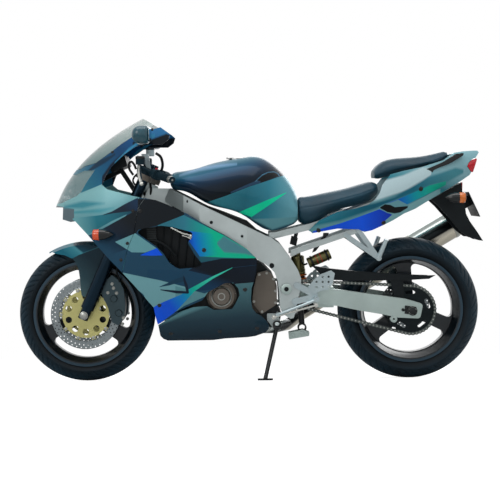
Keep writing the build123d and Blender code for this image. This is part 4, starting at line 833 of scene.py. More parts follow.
def tyre_rubber(name, centre, radius):
    """Black rubber with a blue-grey bloom on the shoulders, fine moulded rings on the wall by distance from
    the axle, and road scuff on the crown."""
    material, tree = new_material(name)
    here = upright(tree)
    spoke = add_node(tree, "ShaderNodeVectorMath", {0: here, 1: (centre / 1000).tolist()},
                     operation="SUBTRACT").outputs[0]
    flat = add_node(tree, "ShaderNodeVectorMath", {0: spoke, 1: (1, 0, 1)}, operation="MULTIPLY").outputs[0]
    reach = add_node(tree, "ShaderNodeVectorMath", {0: flat}, operation="LENGTH").outputs["Value"]
    rings = add_node(tree, "ShaderNodeMath", {0: reach, 1: 2 * math.pi / 0.006}, operation="MULTIPLY").outputs[0]
    rings = add_node(tree, "ShaderNodeMath", {0: rings}, operation="SINE").outputs[0]
    wall = add_node(tree, "ShaderNodeMapRange", {"Value": reach, "From Min": 0.250, "From Max": 0.240}).outputs[0]
    rings = add_node(tree, "ShaderNodeMath", {0: rings, 1: wall}, operation="MULTIPLY").outputs[0]
    bloom = add_node(tree, "ShaderNodeTexNoise", {"Vector": here, "Scale": 12.0, "Detail": 5.0}).outputs[0]
    tread = add_node(tree, "ShaderNodeMapRange", {"Value": reach, "From Min": 0.235,
                                                  "From Max": radius / 1000 - 0.012}).outputs[0]
    level = add_node(tree, "ShaderNodeMath", {0: bloom, 1: tread}, operation="MULTIPLY").outputs[0]
    tint = add_node(tree, "ShaderNodeMix", {"Factor": level, 6: linear("060D12"), 7: linear("1C4052")},
                    data_type="RGBA").outputs[2]
    grit = add_node(tree, "ShaderNodeTexNoise", {"Vector": here, "Scale": 1 / 0.0015, "Detail": 2.0}).outputs[0]
    height = add_node(tree, "ShaderNodeMath", {0: rings, 1: 0.35, 2: grit}, operation="MULTIPLY_ADD").outputs[0]
    relief = add_node(tree, "ShaderNodeBump", {"Height": height, "Strength": 0.35, "Distance": 0.0008}).outputs[0]
    gloss = add_node(tree, "ShaderNodeMapRange", {"Value": grit, "To Min": 0.42, "To Max": 0.62}).outputs[0]
    finish_surface(tree, {"Base Color": tint, "Roughness": gloss, "Normal": relief,
                          "Specular IOR Level": 0.2})
    return material


front_rubber = tyre_rubber("road_rubber_front", front_axle, 300)
rear_rubber = tyre_rubber("road_rubber_rear", rear_axle, 311)
add_piece("front_tyre_treaded", tyre(front_axle, 300, 120, 48.4, 48, 30), front_rubber, "front_wheel",
          smooth=50, replaces=["front_tyre"])
add_piece("rear_tyre_treaded", tyre(rear_axle, 311, 190, 77.4, 48, 26), rear_rubber, "rear_wheel",
          smooth=50, replaces=["rear_tyre"])
print("tyres", [len(bpy.data.meshes[name].polygons) for name in ("front_tyre_treaded", "rear_tyre_treaded")])

# %% [markdown]
# A brake disc is drilled to shed water and heat. Each hole sits in its own patch of a polar grid: the
# patch's border is joined to a circle inside it. Three staggered rows of patches make the ring.

# %% Drilled brake discs
def drilled_ring(centre, near, far, radii, count, hole, shift=0.5):
    """A flat ring between two distances to the left, made of rows of patches (r0, r1) with a round hole in
    each. A patch's border point is (r, angle) on a square that is mapped to the polar patch, and the hole's
    is the centre plus hole * (cos b, sin b)."""
    b = np.linspace(0, 2 * np.pi, 16, endpoint=False) + np.pi / 4
    square = np.stack((np.cos(b), np.sin(b)), -1)
    square /= np.abs(square).max(axis=1, keepdims=True)
    shapes = []
    for row, (r0, r1) in enumerate(radii):
        start = np.arange(count) * 2 * np.pi / count + (row % 2) * shift * 2 * np.pi / count
        middle, half_r, half_a = (r0 + r1) / 2, (r1 - r0) / 2, np.pi / count
        outer_r = middle + half_r * square[:, 0]
        outer_a = start[:, None] + half_a * square[None, :, 1]
        inner_r = middle + hole * np.cos(b)
        inner_a = start[:, None] + hole * np.sin(b)[None, :] / middle
        rings = [(np.broadcast_to(r, a.shape) * np.cos(a), np.full(a.shape, -y),
                  np.broadcast_to(r, a.shape) * np.sin(a))
                 for r, a, y in ((outer_r, outer_a, near), (inner_r, inner_a, near), (inner_r, inner_a, far),
                                 (outer_r, outer_a, far))]
        points = np.stack([np.stack(ring, -1) for ring in rings], 1)
        cell = np.array(grid_faces(4, 16, False, True))
        faces = (cell[None] + np.arange(count)[:, None, None] * 64).reshape(-1, 4).tolist()
        shapes.append((points.reshape(-1, 3) + centre, faces))
    edges = [turned([(r, -near), (r, -far)], centre, sideways, count * 4)
             for r in (radii[0][0], radii[-1][1])]
    return joined(*shapes, *edges)


front_ring = drilled_ring(front_axle, 64.0, 69.0, [(116, 128), (128, 140), (140, 152)], 44, 2.9)
add_piece("front_discs_drilled", both_sides(front_ring), drilled_steel, "front_wheel",
          smooth=30, replaces=["front_brake_discs"])
print("drilled ring", len(front_ring[1]), "faces a side")

# The rear disc is one drilled ring on six arms, on the right.
rear_ring = drilled_ring(rear_axle, -92.5, -87.5, [(76, 87), (87, 98), (98, 109.5)], 34, 2.6)
arm_angle = np.radians(np.arange(6) * 60.0 + 20)
disc_arms = [([(rear_axle[0] + r * math.cos(a + s), rear_axle[2] + r * math.sin(a + s))
               for r, s in ((34, -0.5), (78, -0.14), (78, 0.14), (34, 0.5))]) for a in arm_angle]
hub_plate = turned([(18, 60), (36, 60), (36, 92), (18, 92)], rear_axle, sideways, 48, ring=True)
add_piece("rear_disc_drilled", joined(rear_ring, hub_plate, *[slab(arm, -92.5, -87.5) for arm in disc_arms]),
          drilled_steel, "rear_wheel", smooth=30, replaces=["rear_brake_disc"])

# %% [markdown]
# A roller chain has narrow and wide links in turn. Each link is two waisted plates on two pins. Here the
# path is walked at equal steps along its two straight runs and two wraps, and every link is laid
# between two neighbouring pins.

# %% Chain of real links
chain_y, link_count, plate_reach = -110.0, 108, 7.1
drive_centre = np.array([83.0, 0.0, 408.0])
drive_radius, driven_radius = 40.69, 103.69


def chain_pins():
    """Pin places at equal steps along the loop: two arcs about the sprockets, and the tangents between
    them, which lean by asin((R - r) / distance) from the line of centres."""
    span = rear_axle - drive_centre
    tilt = math.atan2(span[2], span[0])
    wrap = math.asin((driven_radius - drive_radius) / math.hypot(span[0], span[2]))
    path = []
    for centre, radius, first, sweep in ((drive_centre, drive_radius, tilt + np.pi / 2 + wrap, np.pi - 2 * wrap),
                                         (rear_axle, driven_radius, tilt - np.pi / 2 - wrap,
                                          np.pi + 2 * wrap)):
        angle = first + np.linspace(0, sweep, 200)
        path.append(np.column_stack((centre[0] + radius * np.cos(angle), centre[2] + radius * np.sin(angle))))
    path = np.vstack(path + [path[0][:1]])
    length = np.concatenate(([0], np.cumsum(np.linalg.norm(np.diff(path, axis=0), axis=1))))
    stops = np.arange(link_count + 1) * length[-1] / link_count
    return np.column_stack([np.interp(stops, length, path[:, k]) for k in (0, 1)])


def waisted_plate(start, end, near, far):
    """A link plate: two round ends of 7.1 mm joined by hollow sides, laid from one pin to the next."""
    bend = np.radians(np.linspace(-125, 125, 9))
    run = end - start
    pitch = np.linalg.norm(run)
    ahead, beside = run / pitch, np.array([-run[1], run[0]]) / pitch
    right_end = np.column_stack((pitch + plate_reach * np.cos(bend), plate_reach * np.sin(bend)))
    waist = np.array([[pitch / 2, 5.2]])
    loop = np.vstack((right_end, waist, right_end * (-1, 1) + (pitch, 0), -waist + (pitch, 0)))
    loop[10:19] = loop[10:19][::-1]
    return slab(start + loop[:, :1] * ahead + loop[:, 1:] * beside, near, far)


pins = chain_pins()
links, pin_heads = [], []
for number, (start, end) in enumerate(zip(pins[:-1], pins[1:])):
    inner, outer = (4.1, 5.4) if number % 2 else (5.6, 6.9)
    for sign in (-1, 1):
        near, far = sorted((-chain_y + sign * inner, -chain_y + sign * outer))
        links.append(waisted_plate(start, end, near, far))
    pin = (start[0], chain_y, start[1])
    pin_heads.append(turned([(0, -7.1), (3.0, -7.0), (3.4, -6.7), (3.4, -4.0)], pin, sideways, 10))
    free = min(np.linalg.norm(start - centre[[0, 2]]) - radius
               for centre, radius in ((drive_centre, drive_radius), (rear_axle, driven_radius)))
    if free > 6:
        links.append(turned([(5.0, -4), (5.0, 4)], pin, sideways, 12))
add_piece("chain_links", joined(*links), chain_steel, "chassis", smooth=30, replaces=["chain"])
add_piece("chain_pins", joined(*pin_heads), plated_steel, "chassis", smooth=30, replaces=["chain"])
print("chain", link_count, "links")

# %% [markdown]
# Both seats are foam under vinyl. A copy of each solid is remeshed, drawn in a little, and blown up as
# cloth until the faces belly out and the edges round over. The swelling is capped, so the seat stays
# inside its place, and a piping channel is pressed round its skirt.


# %% Padded seats
def seat_vinyl(name):
    """Dark teal vinyl: a leather grain of 2 mm cells, soft sheen, and soft patches that lighten it at random."""
    material, tree = new_material(name)
    here = upright(tree)
    cells = add_node(tree, "ShaderNodeTexVoronoi", {"Vector": here, "Scale": 1 / 0.002}).outputs[0]
    bloom = add_node(tree, "ShaderNodeTexNoise", {"Vector": here, "Scale": 7.0, "Detail": 4.0}).outputs[0]
    tint = add_node(tree, "ShaderNodeMix", {"Factor": bloom, 6: linear("0A2634"), 7: linear("1A4A5E")},
                    data_type="RGBA").outputs[2]
    gloss = add_node(tree, "ShaderNodeMapRange", {"Value": cells, "To Min": 0.5, "To Max": 0.36}).outputs[0]
    relief = add_node(tree, "ShaderNodeBump", {"Height": cells, "Strength": 0.3, "Distance": 0.0006}).outputs[0]
    finish_surface(tree, {"Base Color": tint, "Roughness": gloss, "Normal": relief, "Specular IOR Level": 0.3,
                          "Sheen Weight": 0.15, "Sheen Tint": linear("8FC0CC")})
    return material


def padded_seat(name, node, material, piping, drawn_in=4.0, cap=3.6, voxel=5.0):
    """Copies a solid, remeshes it, shrinks it along its normals, inflates it as cloth and caps the swelling.
    piping is a side-view line (x, z) along which a channel is pressed: the surface goes in across the
    seat by 2.4 exp(-(dz / 3)^2) mm."""
    source = frame["nodes"][node]
    mesh = source.data.copy()
    mesh.transform(source.matrix_world)
    edit = bmesh.new()
    edit.from_mesh(mesh)
    bmesh.ops.remove_doubles(edit, verts=edit.verts, dist=1e-5)
    edit.to_mesh(mesh)
    edit.free()
    seat = bpy.data.objects.new(name, mesh)
    bpy.context.scene.collection.objects.link(seat)
    remesh = seat.modifiers.new("even_cells", "REMESH")
    remesh.mode, remesh.voxel_size = "VOXEL", voxel / 1000

    def applied():
        """The seat's mesh as its modifiers leave it, in place of the old one."""
        done = bpy.data.meshes.new_from_object(seat.evaluated_get(bpy.context.evaluated_depsgraph_get()))
        seat.modifiers.clear()
        seat.data = done
        points = np.empty(len(done.vertices) * 3)
        done.vertices.foreach_get("co", points)
        return points.reshape(-1, 3)

    points = applied()
    normals = np.empty(len(points) * 3)
    seat.data.vertices.foreach_get("normal", normals)
    start = points - normals.reshape(-1, 3) * drawn_in / 1000
    seat.data.vertices.foreach_set("co", start.ravel())
    cloth = seat.modifiers.new("stuffing", "CLOTH")
    cloth.settings.use_pressure = True
    cloth.settings.uniform_pressure_force = 4.0
    cloth.settings.effector_weights.gravity = 0.0
    cloth.point_cache.frame_end = 20
    for step in range(1, 21):
        bpy.context.scene.frame_set(step)
    swollen = applied()
    bpy.context.scene.frame_set(1)
    move = swollen - start
    reach = np.linalg.norm(move, axis=1, keepdims=True)
    start = start + move * np.minimum(1, cap / 1000 / np.maximum(reach, 1e-9))
    flat = (start - parked_at) @ leaning * 1000
    line = np.array(piping, float)
    gap = flat[:, 2] - np.interp(flat[:, 0], line[:, 0], line[:, 1])
    flat[:, 1] -= np.sign(flat[:, 1]) * 2.4 * np.exp(-(gap / 3) ** 2)
    seat.data.vertices.foreach_set("co", park(flat).ravel())
    smooth = seat.modifiers.new("smooth", "SUBSURF")
    smooth.levels = smooth.render_levels = 1
    applied()
    seat.data.materials.clear()
    seat.data.materials.append(material)
    seat.data.shade_smooth()
    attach(seat, "chassis")
    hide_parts(node)
    print(name, len(seat.data.polygons), "faces")


vinyl = seat_vinyl("seat_vinyl")
padded_seat("rider_seat_padded", "rider_seat", vinyl, [(226, 752), (300, 764), (391, 786), (488, 812), (560, 836)])
padded_seat("pillion_seat_padded", "pillion_seat", vinyl, [(553, 884), (600, 900), (760, 936), (889, 980)])

# %% [markdown]
# The rear suspension is a single damper with a coil spring. The spring is a helix: a circle of wire
# carried along a path that turns as it drops. Above it sits the aluminium body with its preload rings,
# and below it the fork and the pair of plates that link it to the swingarm.

# %% Rear damper
shock_top, shock_low = np.array([222.0, 0.0, 560.0]), np.array([240.0, 0.0, 226.0])
shock_way = unit(shock_low - shock_top)


def on_shock(profile, steps=40):
    """A turned part on the damper's line; the profile's second number is the distance down from its top."""
    return turned(profile, shock_top, shock_way, steps)


def helix(start, way, radius, turns, drop, wire):
    """A coil spring: path = start + way * drop * t + R (cos 2 pi n t, sin 2 pi n t), its ends wound closer."""
    t = np.linspace(0, 1, int(turns * 26))
    u, v = square_to(way)
    angle = 2 * np.pi * turns * t
    fall = drop * (t - 0.06 * np.sin(2 * np.pi * t))
    path = (np.asarray(start) + way * fall[:, None]
            + radius * (np.cos(angle)[:, None] * u + np.sin(angle)[:, None] * v))
    return tube(path, wire, 12)


body = on_shock([(0, 0), (14, 0), (14, 14), (26, 18), (29, 22), (29, 74), (31, 76), (31, 84), (29.5, 86),
                 (31, 88), (31, 96), (0, 96)])
damper = on_shock([(0, 90), (19, 90), (19, 236), (31, 238), (31, 246), (16, 250), (13, 262), (13, 318), (0, 318)])
spring = helix(shock_top + shock_way * 97, shock_way, 32.0, 6.5, 138, 4.6)
links = joined(both_sides(slab([(180, 206), (243, 219), (272, 206), (270, 190), (195, 178), (182, 176)], 17, 23)),
               *[turned([(0, -26), (8, -26), (8, 26), (0, 26)], (x, 0, z), sideways, 18)
                 for x, z in ((198, 194), (240, 204), (258, 200))])
hoop = turned([(13, -14), (20, -14), (20, 14), (13, 14)], (240, 0, 226), sideways, 24, ring=True)
olive_alloy = metal("hard_anodised_damper_body", "6F6A44", 0.34, 1.4, 0.04, metallic=0.7)
add_piece("damper_body", body, olive_alloy, "chassis", smooth=40, replaces=["rear_shock"])
add_piece("damper_spring", spring, spring_paint, "chassis", smooth=60, replaces=["rear_shock"])
add_piece("damper_rod", joined(damper, hoop), plate_steel, "chassis", replaces=["rear_shock"])
add_piece("damper_links", links, swingarm_alloy, "chassis", bevel=0.6, replaces=["rear_shock"])

# %% [markdown]
# Each mirror is a painted shell, round in front and cut off straight behind, where the glass sits in it.

# %% Mirrors
def mirror_shell(side_steps=30):
    """Slices across the bike; in each the section is a squircle in front, |cos|^0.9, and nearly square
    behind, |cos|^0.35, so that the rear edge is straight."""
    slices = np.array([(-215, 22, 20), (-222, 30, 30), (-240, 34, 34), (-270, 37, 38), (-300, 38, 39.5),
                       (-330, 36, 37), (-345, 32, 32), (-354, 24, 24), (-358, 12, 12)], float)
    angle = np.linspace(0, 2 * np.pi, side_steps, endpoint=False)
    cosine, sine = np.cos(angle), np.sin(angle)
    blunt = np.where(cosine > 0, 0.35, 0.9)
    x = np.sign(cosine) * np.abs(cosine) ** blunt
    z = np.sign(sine) * np.abs(sine) ** np.where(cosine > 0, 0.6, 0.9)
    points = np.stack((-437 + slices[:, 1, None] * x, np.broadcast_to(slices[:, :1], (len(slices), side_steps)),
                       1070 + slices[:, 2, None] * z), -1)
    return points.reshape(-1, 3), grid_faces(len(slices), side_steps, False, True)


shell_points, shell_faces = mirror_shell()
shell_faces += [list(range(30)), list(range(len(shell_points) - 30, len(shell_points)))]
stalk = tube(smooth_line([(-468, -118, 1068), (-458, -150, 1060), (-448, -190, 1060), (-440, -228, 1068)], 6),
             [11.0] * 6 + [9.0] * 6 + [8.5] * 7, 14)
add_piece("mirror_shells", both_sides(joined((shell_points, shell_faces), stalk)), mirror_plastic, "chassis",
          smooth=50, replaces=["mirrors"])
angle = np.linspace(0, 2 * np.pi, 40, endpoint=False)
glass_loop = np.column_stack((np.sign(np.cos(angle)) * np.abs(np.cos(angle)) ** 0.5 * 58 - 288,
                              np.sign(np.sin(angle)) * np.abs(np.sin(angle)) ** 0.5 * 30 + 1070))
glass_points = np.vstack([np.column_stack((np.full(40, x), glass_loop)) for x in (-401.5, -398.5)])
glass_faces = [list(range(40)), list(range(40, 80))[::-1]] + [[k, (k + 1) % 40, (k + 1) % 40 + 40, k + 40]
                                                              for k in range(40)]
mirror_glass = metal("silvered_mirror_glass", "8FA4AA", 0.03, 1.0, 0.0, dust=0.02)
add_piece("mirror_glass", both_sides((glass_points, glass_faces)), mirror_glass, "chassis",
          smooth=30, replaces=["mirrors"])

# %% [markdown]
# Fasteners tell how the bike is put together. Socket screws hold the covers, quarter-turn screws hold
# the fairing, and flanged nuts close the spindles. All of them are turned profiles.

# %% Screws and nuts
def screw(place, radius, height=4.0, axis=(0, -1, 0), socket=0.5):
    """A domed socket head: out along a washer, up the head, over its edge and down into the socket."""
    r, h, deep = radius, height, radius * socket
    profile = [(0, h * 0.35), (deep, h * 0.35), (deep, h), (r * 0.8, h), (r, h * 0.75), (r, 1), (r * 1.3, 1),
               (r * 1.3, -2), (0, -2)]
    return turned(profile, place, axis, 14)


def nut(place, radius, height=8.0, axis=(0, -1, 0)):
    """A flanged hexagon: six corners, drawn in at the top."""
    hexagon = turned([(0, height), (radius * 0.86, height), (radius, height - 1.5), (radius, 1.5)], place, axis, 6)
    flange = turned([(radius, 2), (radius * 1.18, 1), (radius * 1.18, -2), (0, -2)], place, axis, 24)
    return joined(hexagon, flange)


ring = [(-110 + 57 * math.cos(a), 384 + 57 * math.sin(a)) for a in np.arange(8) * math.pi / 4 + 0.2]
sprocket_cover = [(52, 472), (84, 478), (112, 452), (120, 400), (120, 350), (62, 312), (28, 356)]
engine_screws = joined(*[screw((x, -184.5, z), 4.2, 4) for x, z in ring],
                       *[screw((x, -144, z), 4.4, 4.5) for x, z in sprocket_cover],
                       *[screw((-20 + 69 * math.cos(a), 174, 372 + 69 * math.sin(a)), 4.2, 4, (0, 1, 0))
                         for a in np.arange(10) * math.pi / 5],
                       turned([(36, 0), (44, 0), (44, 5), (40, 7.5), (36, 5)], (-110, -192, 384), (0, -1, 0), 48, True),
                       turned([(12, 0), (16, 0), (16, 4), (12, 4)], (-110, -202, 384), (0, -1, 0), 24, True))
add_piece("engine_screws", engine_screws, plated_steel, "chassis", smooth=40)
rail_screws = [((430, -120, 630), 7), ((425, -120, 716), 7), ((480, -120, 662), 6), ((300, -120, 682), 6)]
add_piece("frame_screws", joined(*[both_sides(screw(place, r, 5)) for place, r in rail_screws]), olive_alloy, "chassis", smooth=40)
pivot_ring = turned([(10, 1), (23, 1), (23, 4), (20, 6), (10, 6)], (167, -175, 411), (0, -1, 0), 36, True)
add_piece("pivot_rings", both_sides(pivot_ring), swingarm_alloy, "chassis", smooth=40)
add_piece("pivot_plugs", both_sides(turned([(0, 3), (10, 4), (10, 0), (0, 0)], (167, -175, 411), (0, -1, 0), 24)),
          black_plastic, "chassis", smooth=40)
add_piece("frame_plugs", both_sides(joined(*[turned([(0, 3), (r - 2, 3), (r, 1), (r, -2), (0, -2)], place,
                                                    (0, -1, 0), 24)
                                             for place, r in (((105, -174, 512), 11), ((-250, -179, 790), 7),
                                                              ((-150, -206.5, 700), 7), ((-20, -206.5, 640), 6))])),
          black_plastic, "chassis", smooth=40)
caliper_screws = [(-587, 434), (-581, 416), (-606, 396), (-568, 394), (-539, 286), (-543, 260)]
add_piece("caliper_screws", both_sides(joined(*[screw((x, -99.2, z), 5.5, 5) for x, z in caliper_screws])),
          plated_steel, "steering", smooth=40)
add_piece("caliper_pistons", both_sides(joined(*[
    turned([(0, 6), (13, 6), (15, 4), (16, 0), (16, -4), (0, -4)], (x, -99, z), (0, -1, 0), 32)
    for x, z in ((-580, 370), (-559, 307))])), caliper_alloy, "steering", smooth=40)
add_piece("axle_nuts", both_sides(joined(nut((-707.5, -129, 300), 15, 6))), plated_steel, "steering",
          smooth=40)
add_piece("rear_axle_nut", nut((707.5, -165, 311), 17, 8), plate_steel, "chassis", smooth=40)
add_piece("chain_adjusters", both_sides(joined(slab([(676, 334), (726, 327), (722, 294), (674, 298)], 151, 153.5),
                                               nut((668, -154, 315), 6, 4))), plate_steel, "chassis",
          bevel=1.0)
rotor_buttons = [(107.5 * math.cos(a), 107.5 * math.sin(a)) for a in np.arange(10) * math.pi / 5]
add_piece("disc_buttons", both_sides(joined(*[
    turned([(0, 2.2), (4, 2.2), (7, 1.4), (7, -1), (0, -1)], (-707.5 + x, -69.2, 300 + z), (0, -1, 0), 16)
    for x, z in rotor_buttons])), plated_steel, "front_wheel", smooth=40)
print("screws in place")

# %% [markdown]
# What is left hangs on the solids: lenses, hoses and levers, ribs on the grips, and a black sheet of painted shade
# inside each vent. Where a piece sits on a panel, a ray from the side finds the panel's face, so the piece stands on
# the paint and not in it.


# %% Pieces that sit on panels
def skin_at(node, x, z, left=True):
    """How far out a solid's face is at a side-view point: a ray across the bike, from outside inwards."""
    solid = frame["nodes"][node]
    sign = -1 if left else 1
    inwards = np.array(solid.matrix_world.inverted())
    start = inwards @ (*park((x, sign * 600, z)), 1)
    way = inwards[:3, :3] @ (leaning @ (0, -sign, 0))
    hit, place, _, _ = solid.ray_cast(start[:3].tolist(), way.tolist())
    if not hit:
        raise ValueError(f"{node} has no face at {x}, {z}")
    found = np.array(solid.matrix_world) @ (*place, 1)
    return ((found[:3] - parked_at) @ leaning * 1000)[1]


def on_panel(node, spots, radius, height):
    """Quarter-turn screws on both sides of a panel."""
    return joined(*[both_sides(screw((x, skin_at(node, x, z), z), radius, height, socket=0.35))
                    for x, z in spots])


for node, spots, radius in (
        ("nose_cowl", [(-504, 616), (-532, 546), (-571, 1003), (-401, 1098), (-480, 752)], 5.5),
        ("side_fairings", [(-450, 752), (-373, 352), (-181, 584)], 7.0),
        ("lower_fairing", [(-10, 415), (-120, 232), (-330, 224), (40, 244)], 7.0),
        ("tail_cowl", [(310, 660), (753, 834), (590, 690)], 8.0)):
    add_piece(node + "_screws", on_panel(node, spots, radius, 2.6), gloss_plastic, "chassis", smooth=40)

# %% [markdown]
# The vent in each side shows the inside of the fairing, which lies in shade: a flat black sheet stands in it as painted
# shade, with a rail and a row of bars across it, and the stays that carry the panels.

# %% Inside the vents
# a flat black sheet behind the vent: painted shade for the dark inside of the fairing
shade_liner = slab([(-474, 640), (-470, 668), (-380, 704), (-190, 692), (-185, 500), (-300, 500), (-384, 590)], 152, 156)
rail = tube(smooth_line([(-414, -196, 626), (-376, -196, 618), (-338, -192, 595), (-304, -186, 557)]), 5.0)
stay = joined(tube([(-324, -186, 678), (-275, -192, 654), (-233, -198, 644)], 3.6),
              tube([(-237, -198, 629), (-256, -194, 640), (-275, -190, 645)], 3.0),
              screw((-240, -201, 640), 6, 4))
lattice = joined(*[tube([(-368 + k * 34, -160, 512), (-352 + k * 34, -160, 684)], 3.2, 8) for k in range(5)])
add_piece("vent_shade_liners_and_rails", both_sides(joined(shade_liner, rail, lattice)), black_plastic, "chassis", smooth=40)
add_piece("vent_stays", both_sides(stay), polished_steel, "chassis", smooth=40)

# %% [markdown]
# Turn lamps have an orange lens in front of a black shell. The number plate, which stays blank, gets a red reflector
# above it.

# %% Lenses
front_lens = turned([(0, -2.5), (12, -2.2), (18.5, -0.8), (21.6, 1.5), (22.6, 9), (23.6, 26), (21, 27)],
                    (-648, -247, 654), (1, 0, 0), 36)
rear_lens = turned([(0, -2.5), (12, -2.2), (18.5, -0.8), (21.6, 1.5), (22.6, 9), (23.6, 26), (21, 27)],
                   (936, -172, 795), (-1, 0, 0), 36)
add_piece("front_turn_lenses", both_sides(front_lens), orange_lens, "chassis", smooth=50)
add_piece("rear_turn_lenses", both_sides(rear_lens), amber_lens, "chassis", smooth=50)
rear_reflector = joined(slab([(944, 806), (951, 806), (953, 861), (946, 861)], -24, 24))
add_piece("rear_reflector", rear_reflector, red_lens, "chassis", bevel=1.0)

# %% [markdown]
# Hoses and cables are circles carried along curves. The clutch lever is cast and polished, thin at the pivot and round
# at the tip.

# %% Controls and hoses
tank_nylon = moulded("translucent_nylon", "B9C8CC", 0.35, 1.4, 0.05)
bar_start = front_axle + up_fork * 681 - sideways * 105
grip_way = unit((125.5, -240, -42))
grip_end = bar_start + np.array((125.5, -240, -42)) - grip_way * 26
grip_ribs = joined(*[turned([(15.6, -1.4), (17.2, -0.9), (17.2, 0.9), (15.6, 1.4)], grip_end - grip_way * s,
                            grip_way, 28) for s in range(6, 114, 6)],
                   turned([(16, -1), (22, -1), (22, 4), (16, 4)], grip_end - grip_way * 116, grip_way, 32, True))
add_piece("grip_ribs", both_sides(grip_ribs), grip_rubber, "steering", smooth=40)
bar_weights = joined(turned([(0, 1.5), (4, 1.5), (4, -1), (12, -1), (14.6, -4), (14.6, -24), (12, -26)],
                            grip_end + grip_way * 26, grip_way, 32))
add_piece("bar_weights", both_sides(bar_weights), plated_steel, "steering", smooth=40)

lever_start, lever_end = bar_start + (-25.5, -83, 23), bar_start + (-5.5, -195, -56)
lever_run = lever_end - lever_start
blade = smooth_line([lever_start, lever_start + lever_run * 0.3 + (-6, 0, 0), lever_start + lever_run * 0.65
                     + (-7, 0, 2), lever_end], 8)
taper = np.interp(np.linspace(0, 1, len(blade)), [0, 0.2, 0.8, 1], [7.4, 7.0, 6.6, 7.4])
tip = turned([(0, 9.4), (4, 8.4), (7.6, 5.6), (9.4, 0), (7.6, -5.6), (4, -8.4), (0, -9.4)], lever_end, (0, 1, 0), 24)
add_piece("levers", both_sides(joined(tube(blade, taper, 12), tip)), polished_steel, "steering",
          smooth=60)
cup = lever_start + (4, 14, 38)
add_piece("fluid_cups", both_sides(joined(
    turned([(0, 3), (15, 3), (20.4, 1), (20.8, -2), (20.8, -9), (20.2, -10)], cup, (0, 0, 1), 32),
    *[screw(cup + (10 * i, 0, 3), 2.6, 1.4, (0, 0, 1)) for i in (-1, 1)])), gloss_plastic, "steering",
    smooth=40)
housing = grip_end - grip_way * 140
side_way = unit(np.cross(grip_way, (0, 0, 1)))
add_piece("switch_buttons", joined(
    turned([(0, 5), (5, 5), (6, 3.5), (6, -2), (0, -2)], housing + (0, 0, 22), (0, 0, 1), 20),
    turned([(0, 4), (4, 4), (4.6, 3), (4.6, -2), (0, -2)], housing - side_way * 22 + (0, 0, 2), -side_way, 20)),
    red_plastic, "steering", smooth=40)
hoses = [
    ([(-455, -72, 865), (-463, -72, 859), (-480, -74, 859), (-494, -76, 879), (-488, -78, 898), (-470, -84, 915)], 4),
    ([(-392, -104, 1000), (-372, -100, 985), (-364, -92, 960), (-366, -84, 935), (-380, -74, 905),
      (-395, -66, 890)], 6),
    ([(-484, -160, 905), (-500, -162, 930), (-502, -164, 952), (-492, -164, 962), (-480, -162, 950),
      (-472, -160, 930)], 5),
    ([(-460, -40, 850), (-452, -52, 830), (-440, -58, 812), (-428, -60, 790)], 6),
    ([(-430, -120, 905), (-420, -104, 880), (-415, -90, 850), (-418, -80, 820)], 5),
]
front_hoses = joined(*[tube(smooth_line(path, 8), radius, 10) for path, radius in hoses])
add_piece("control_hoses", front_hoses, hose_rubber, "steering", smooth=60)
brake_hose = both_sides(tube(smooth_line([(-540, -86, 600), (-556, -96, 540), (-566, -100, 488), (-556, -98, 452),
                                          (-560, -90, 430)], 8), 4.2, 10))
add_piece("front_brake_hoses", brake_hose, hose_rubber, "steering", smooth=60)
add_piece("brake_fluid_tank", joined(turned([(0, 0), (17, 0), (19, 2), (19, 30), (0, 30)], (-436, 130, 994), (0, 0, 1), 32),
                                     slab([(-452, 996), (-420, 996), (-410, 925), (-424, 922)], 126, 134)),
          tank_nylon, "steering", smooth=40)
add_piece("brake_fluid_lid", turned([(19.6, 29), (20.4, 30), (20.4, 36), (18, 38), (0, 38)], (-436, 130, 994), (0, 0, 1), 32),
          gloss_plastic, "steering", smooth=40)
print("controls ready")
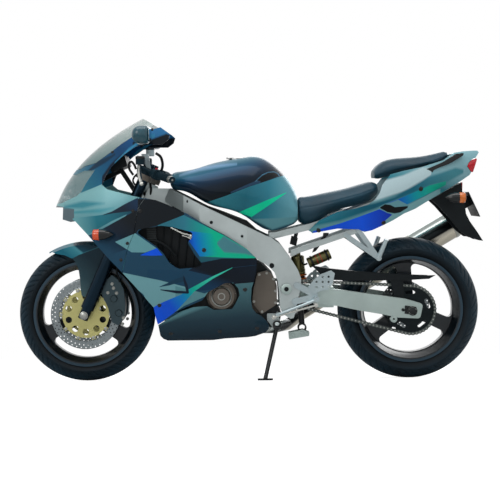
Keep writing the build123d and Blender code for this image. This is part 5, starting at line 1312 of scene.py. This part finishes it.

# %% [markdown]
# Behind the engine the frame carries the damper's gas reservoir, the gear linkage and a junction box.

# %% Reservoir, linkage, junction box and silencer straps
can_start, can_end = np.array([266.0, -70.0, 514.0]), np.array([362.0, -70.0, 555.0])
can_way = unit(can_end - can_start)
length = float(np.linalg.norm(can_end - can_start))
can = turned([(0, 0), (20, 0), (23, 3), (23, 12), (21.5, 14), (21.5, 30), (23, 32), (23, length - 22),
              (21.5, length - 20), (21.5, length - 10), (23, length - 8), (23, length - 3), (20, length),
              (0, length)], can_start, can_way, 36)
bands_red = joined(*[turned([(23, s), (23.6, s), (23.6, s + 2.2), (23, s + 2.2)], can_start, can_way, 36, True)
                     for s in (40, 60)])
add_piece("gas_reservoir", can, olive_alloy, "chassis", smooth=40)
add_piece("reservoir_bands", bands_red, red_plastic, "chassis", smooth=40)
clamp = joined(*[turned([(23.2, s), (25.6, s), (25.6, s + 7), (23.2, s + 7)], can_start, can_way, 36, True)
                 for s in (16, length - 19)],
               slab([(284, 560), (300, 566), (352, 634), (338, 640), (292, 580)], 66, 74),
               slab([(330, 626), (352, 634), (356, 646), (334, 646)], 66, 104))
gas_hose = tube(smooth_line([(262, -70, 512), (248, -60, 508), (240, -40, 520), (236, -26, 538)], 8), 4, 10)
add_piece("reservoir_clamps", joined(clamp, gas_hose), plate_steel, "chassis", smooth=40)
shift_rod = joined(tube([(112, -168, 290), (175, -172, 309), (293, -178, 341)], 4.5, 10),
                   screw((112, -172, 290), 7, 5), screw((293, -183, 341), 7, 5))
add_piece("gear_linkage", shift_rod, polished_steel, "chassis", smooth=40)
box = joined(slab([(186, 600), (214, 590), (222, 626), (194, 636)], 84, 96),
             slab([(200, 622), (216, 620), (228, 664), (212, 668)], 92, 104))
add_piece("relay_box", box, black_plastic, "chassis", bevel=2.0)
strap_ring = [turned([(61.6, s), (63.4, s), (63.4, s + 14), (61.6, s + 14)], (500, 216, 409),
                     (math.cos(math.radians(30)), 0, math.sin(math.radians(30))), 56, True) for s in (300, 505)]
add_piece("silencer_straps", joined(*strap_ring), plated_steel, "chassis", smooth=40)
print("last pieces in place")
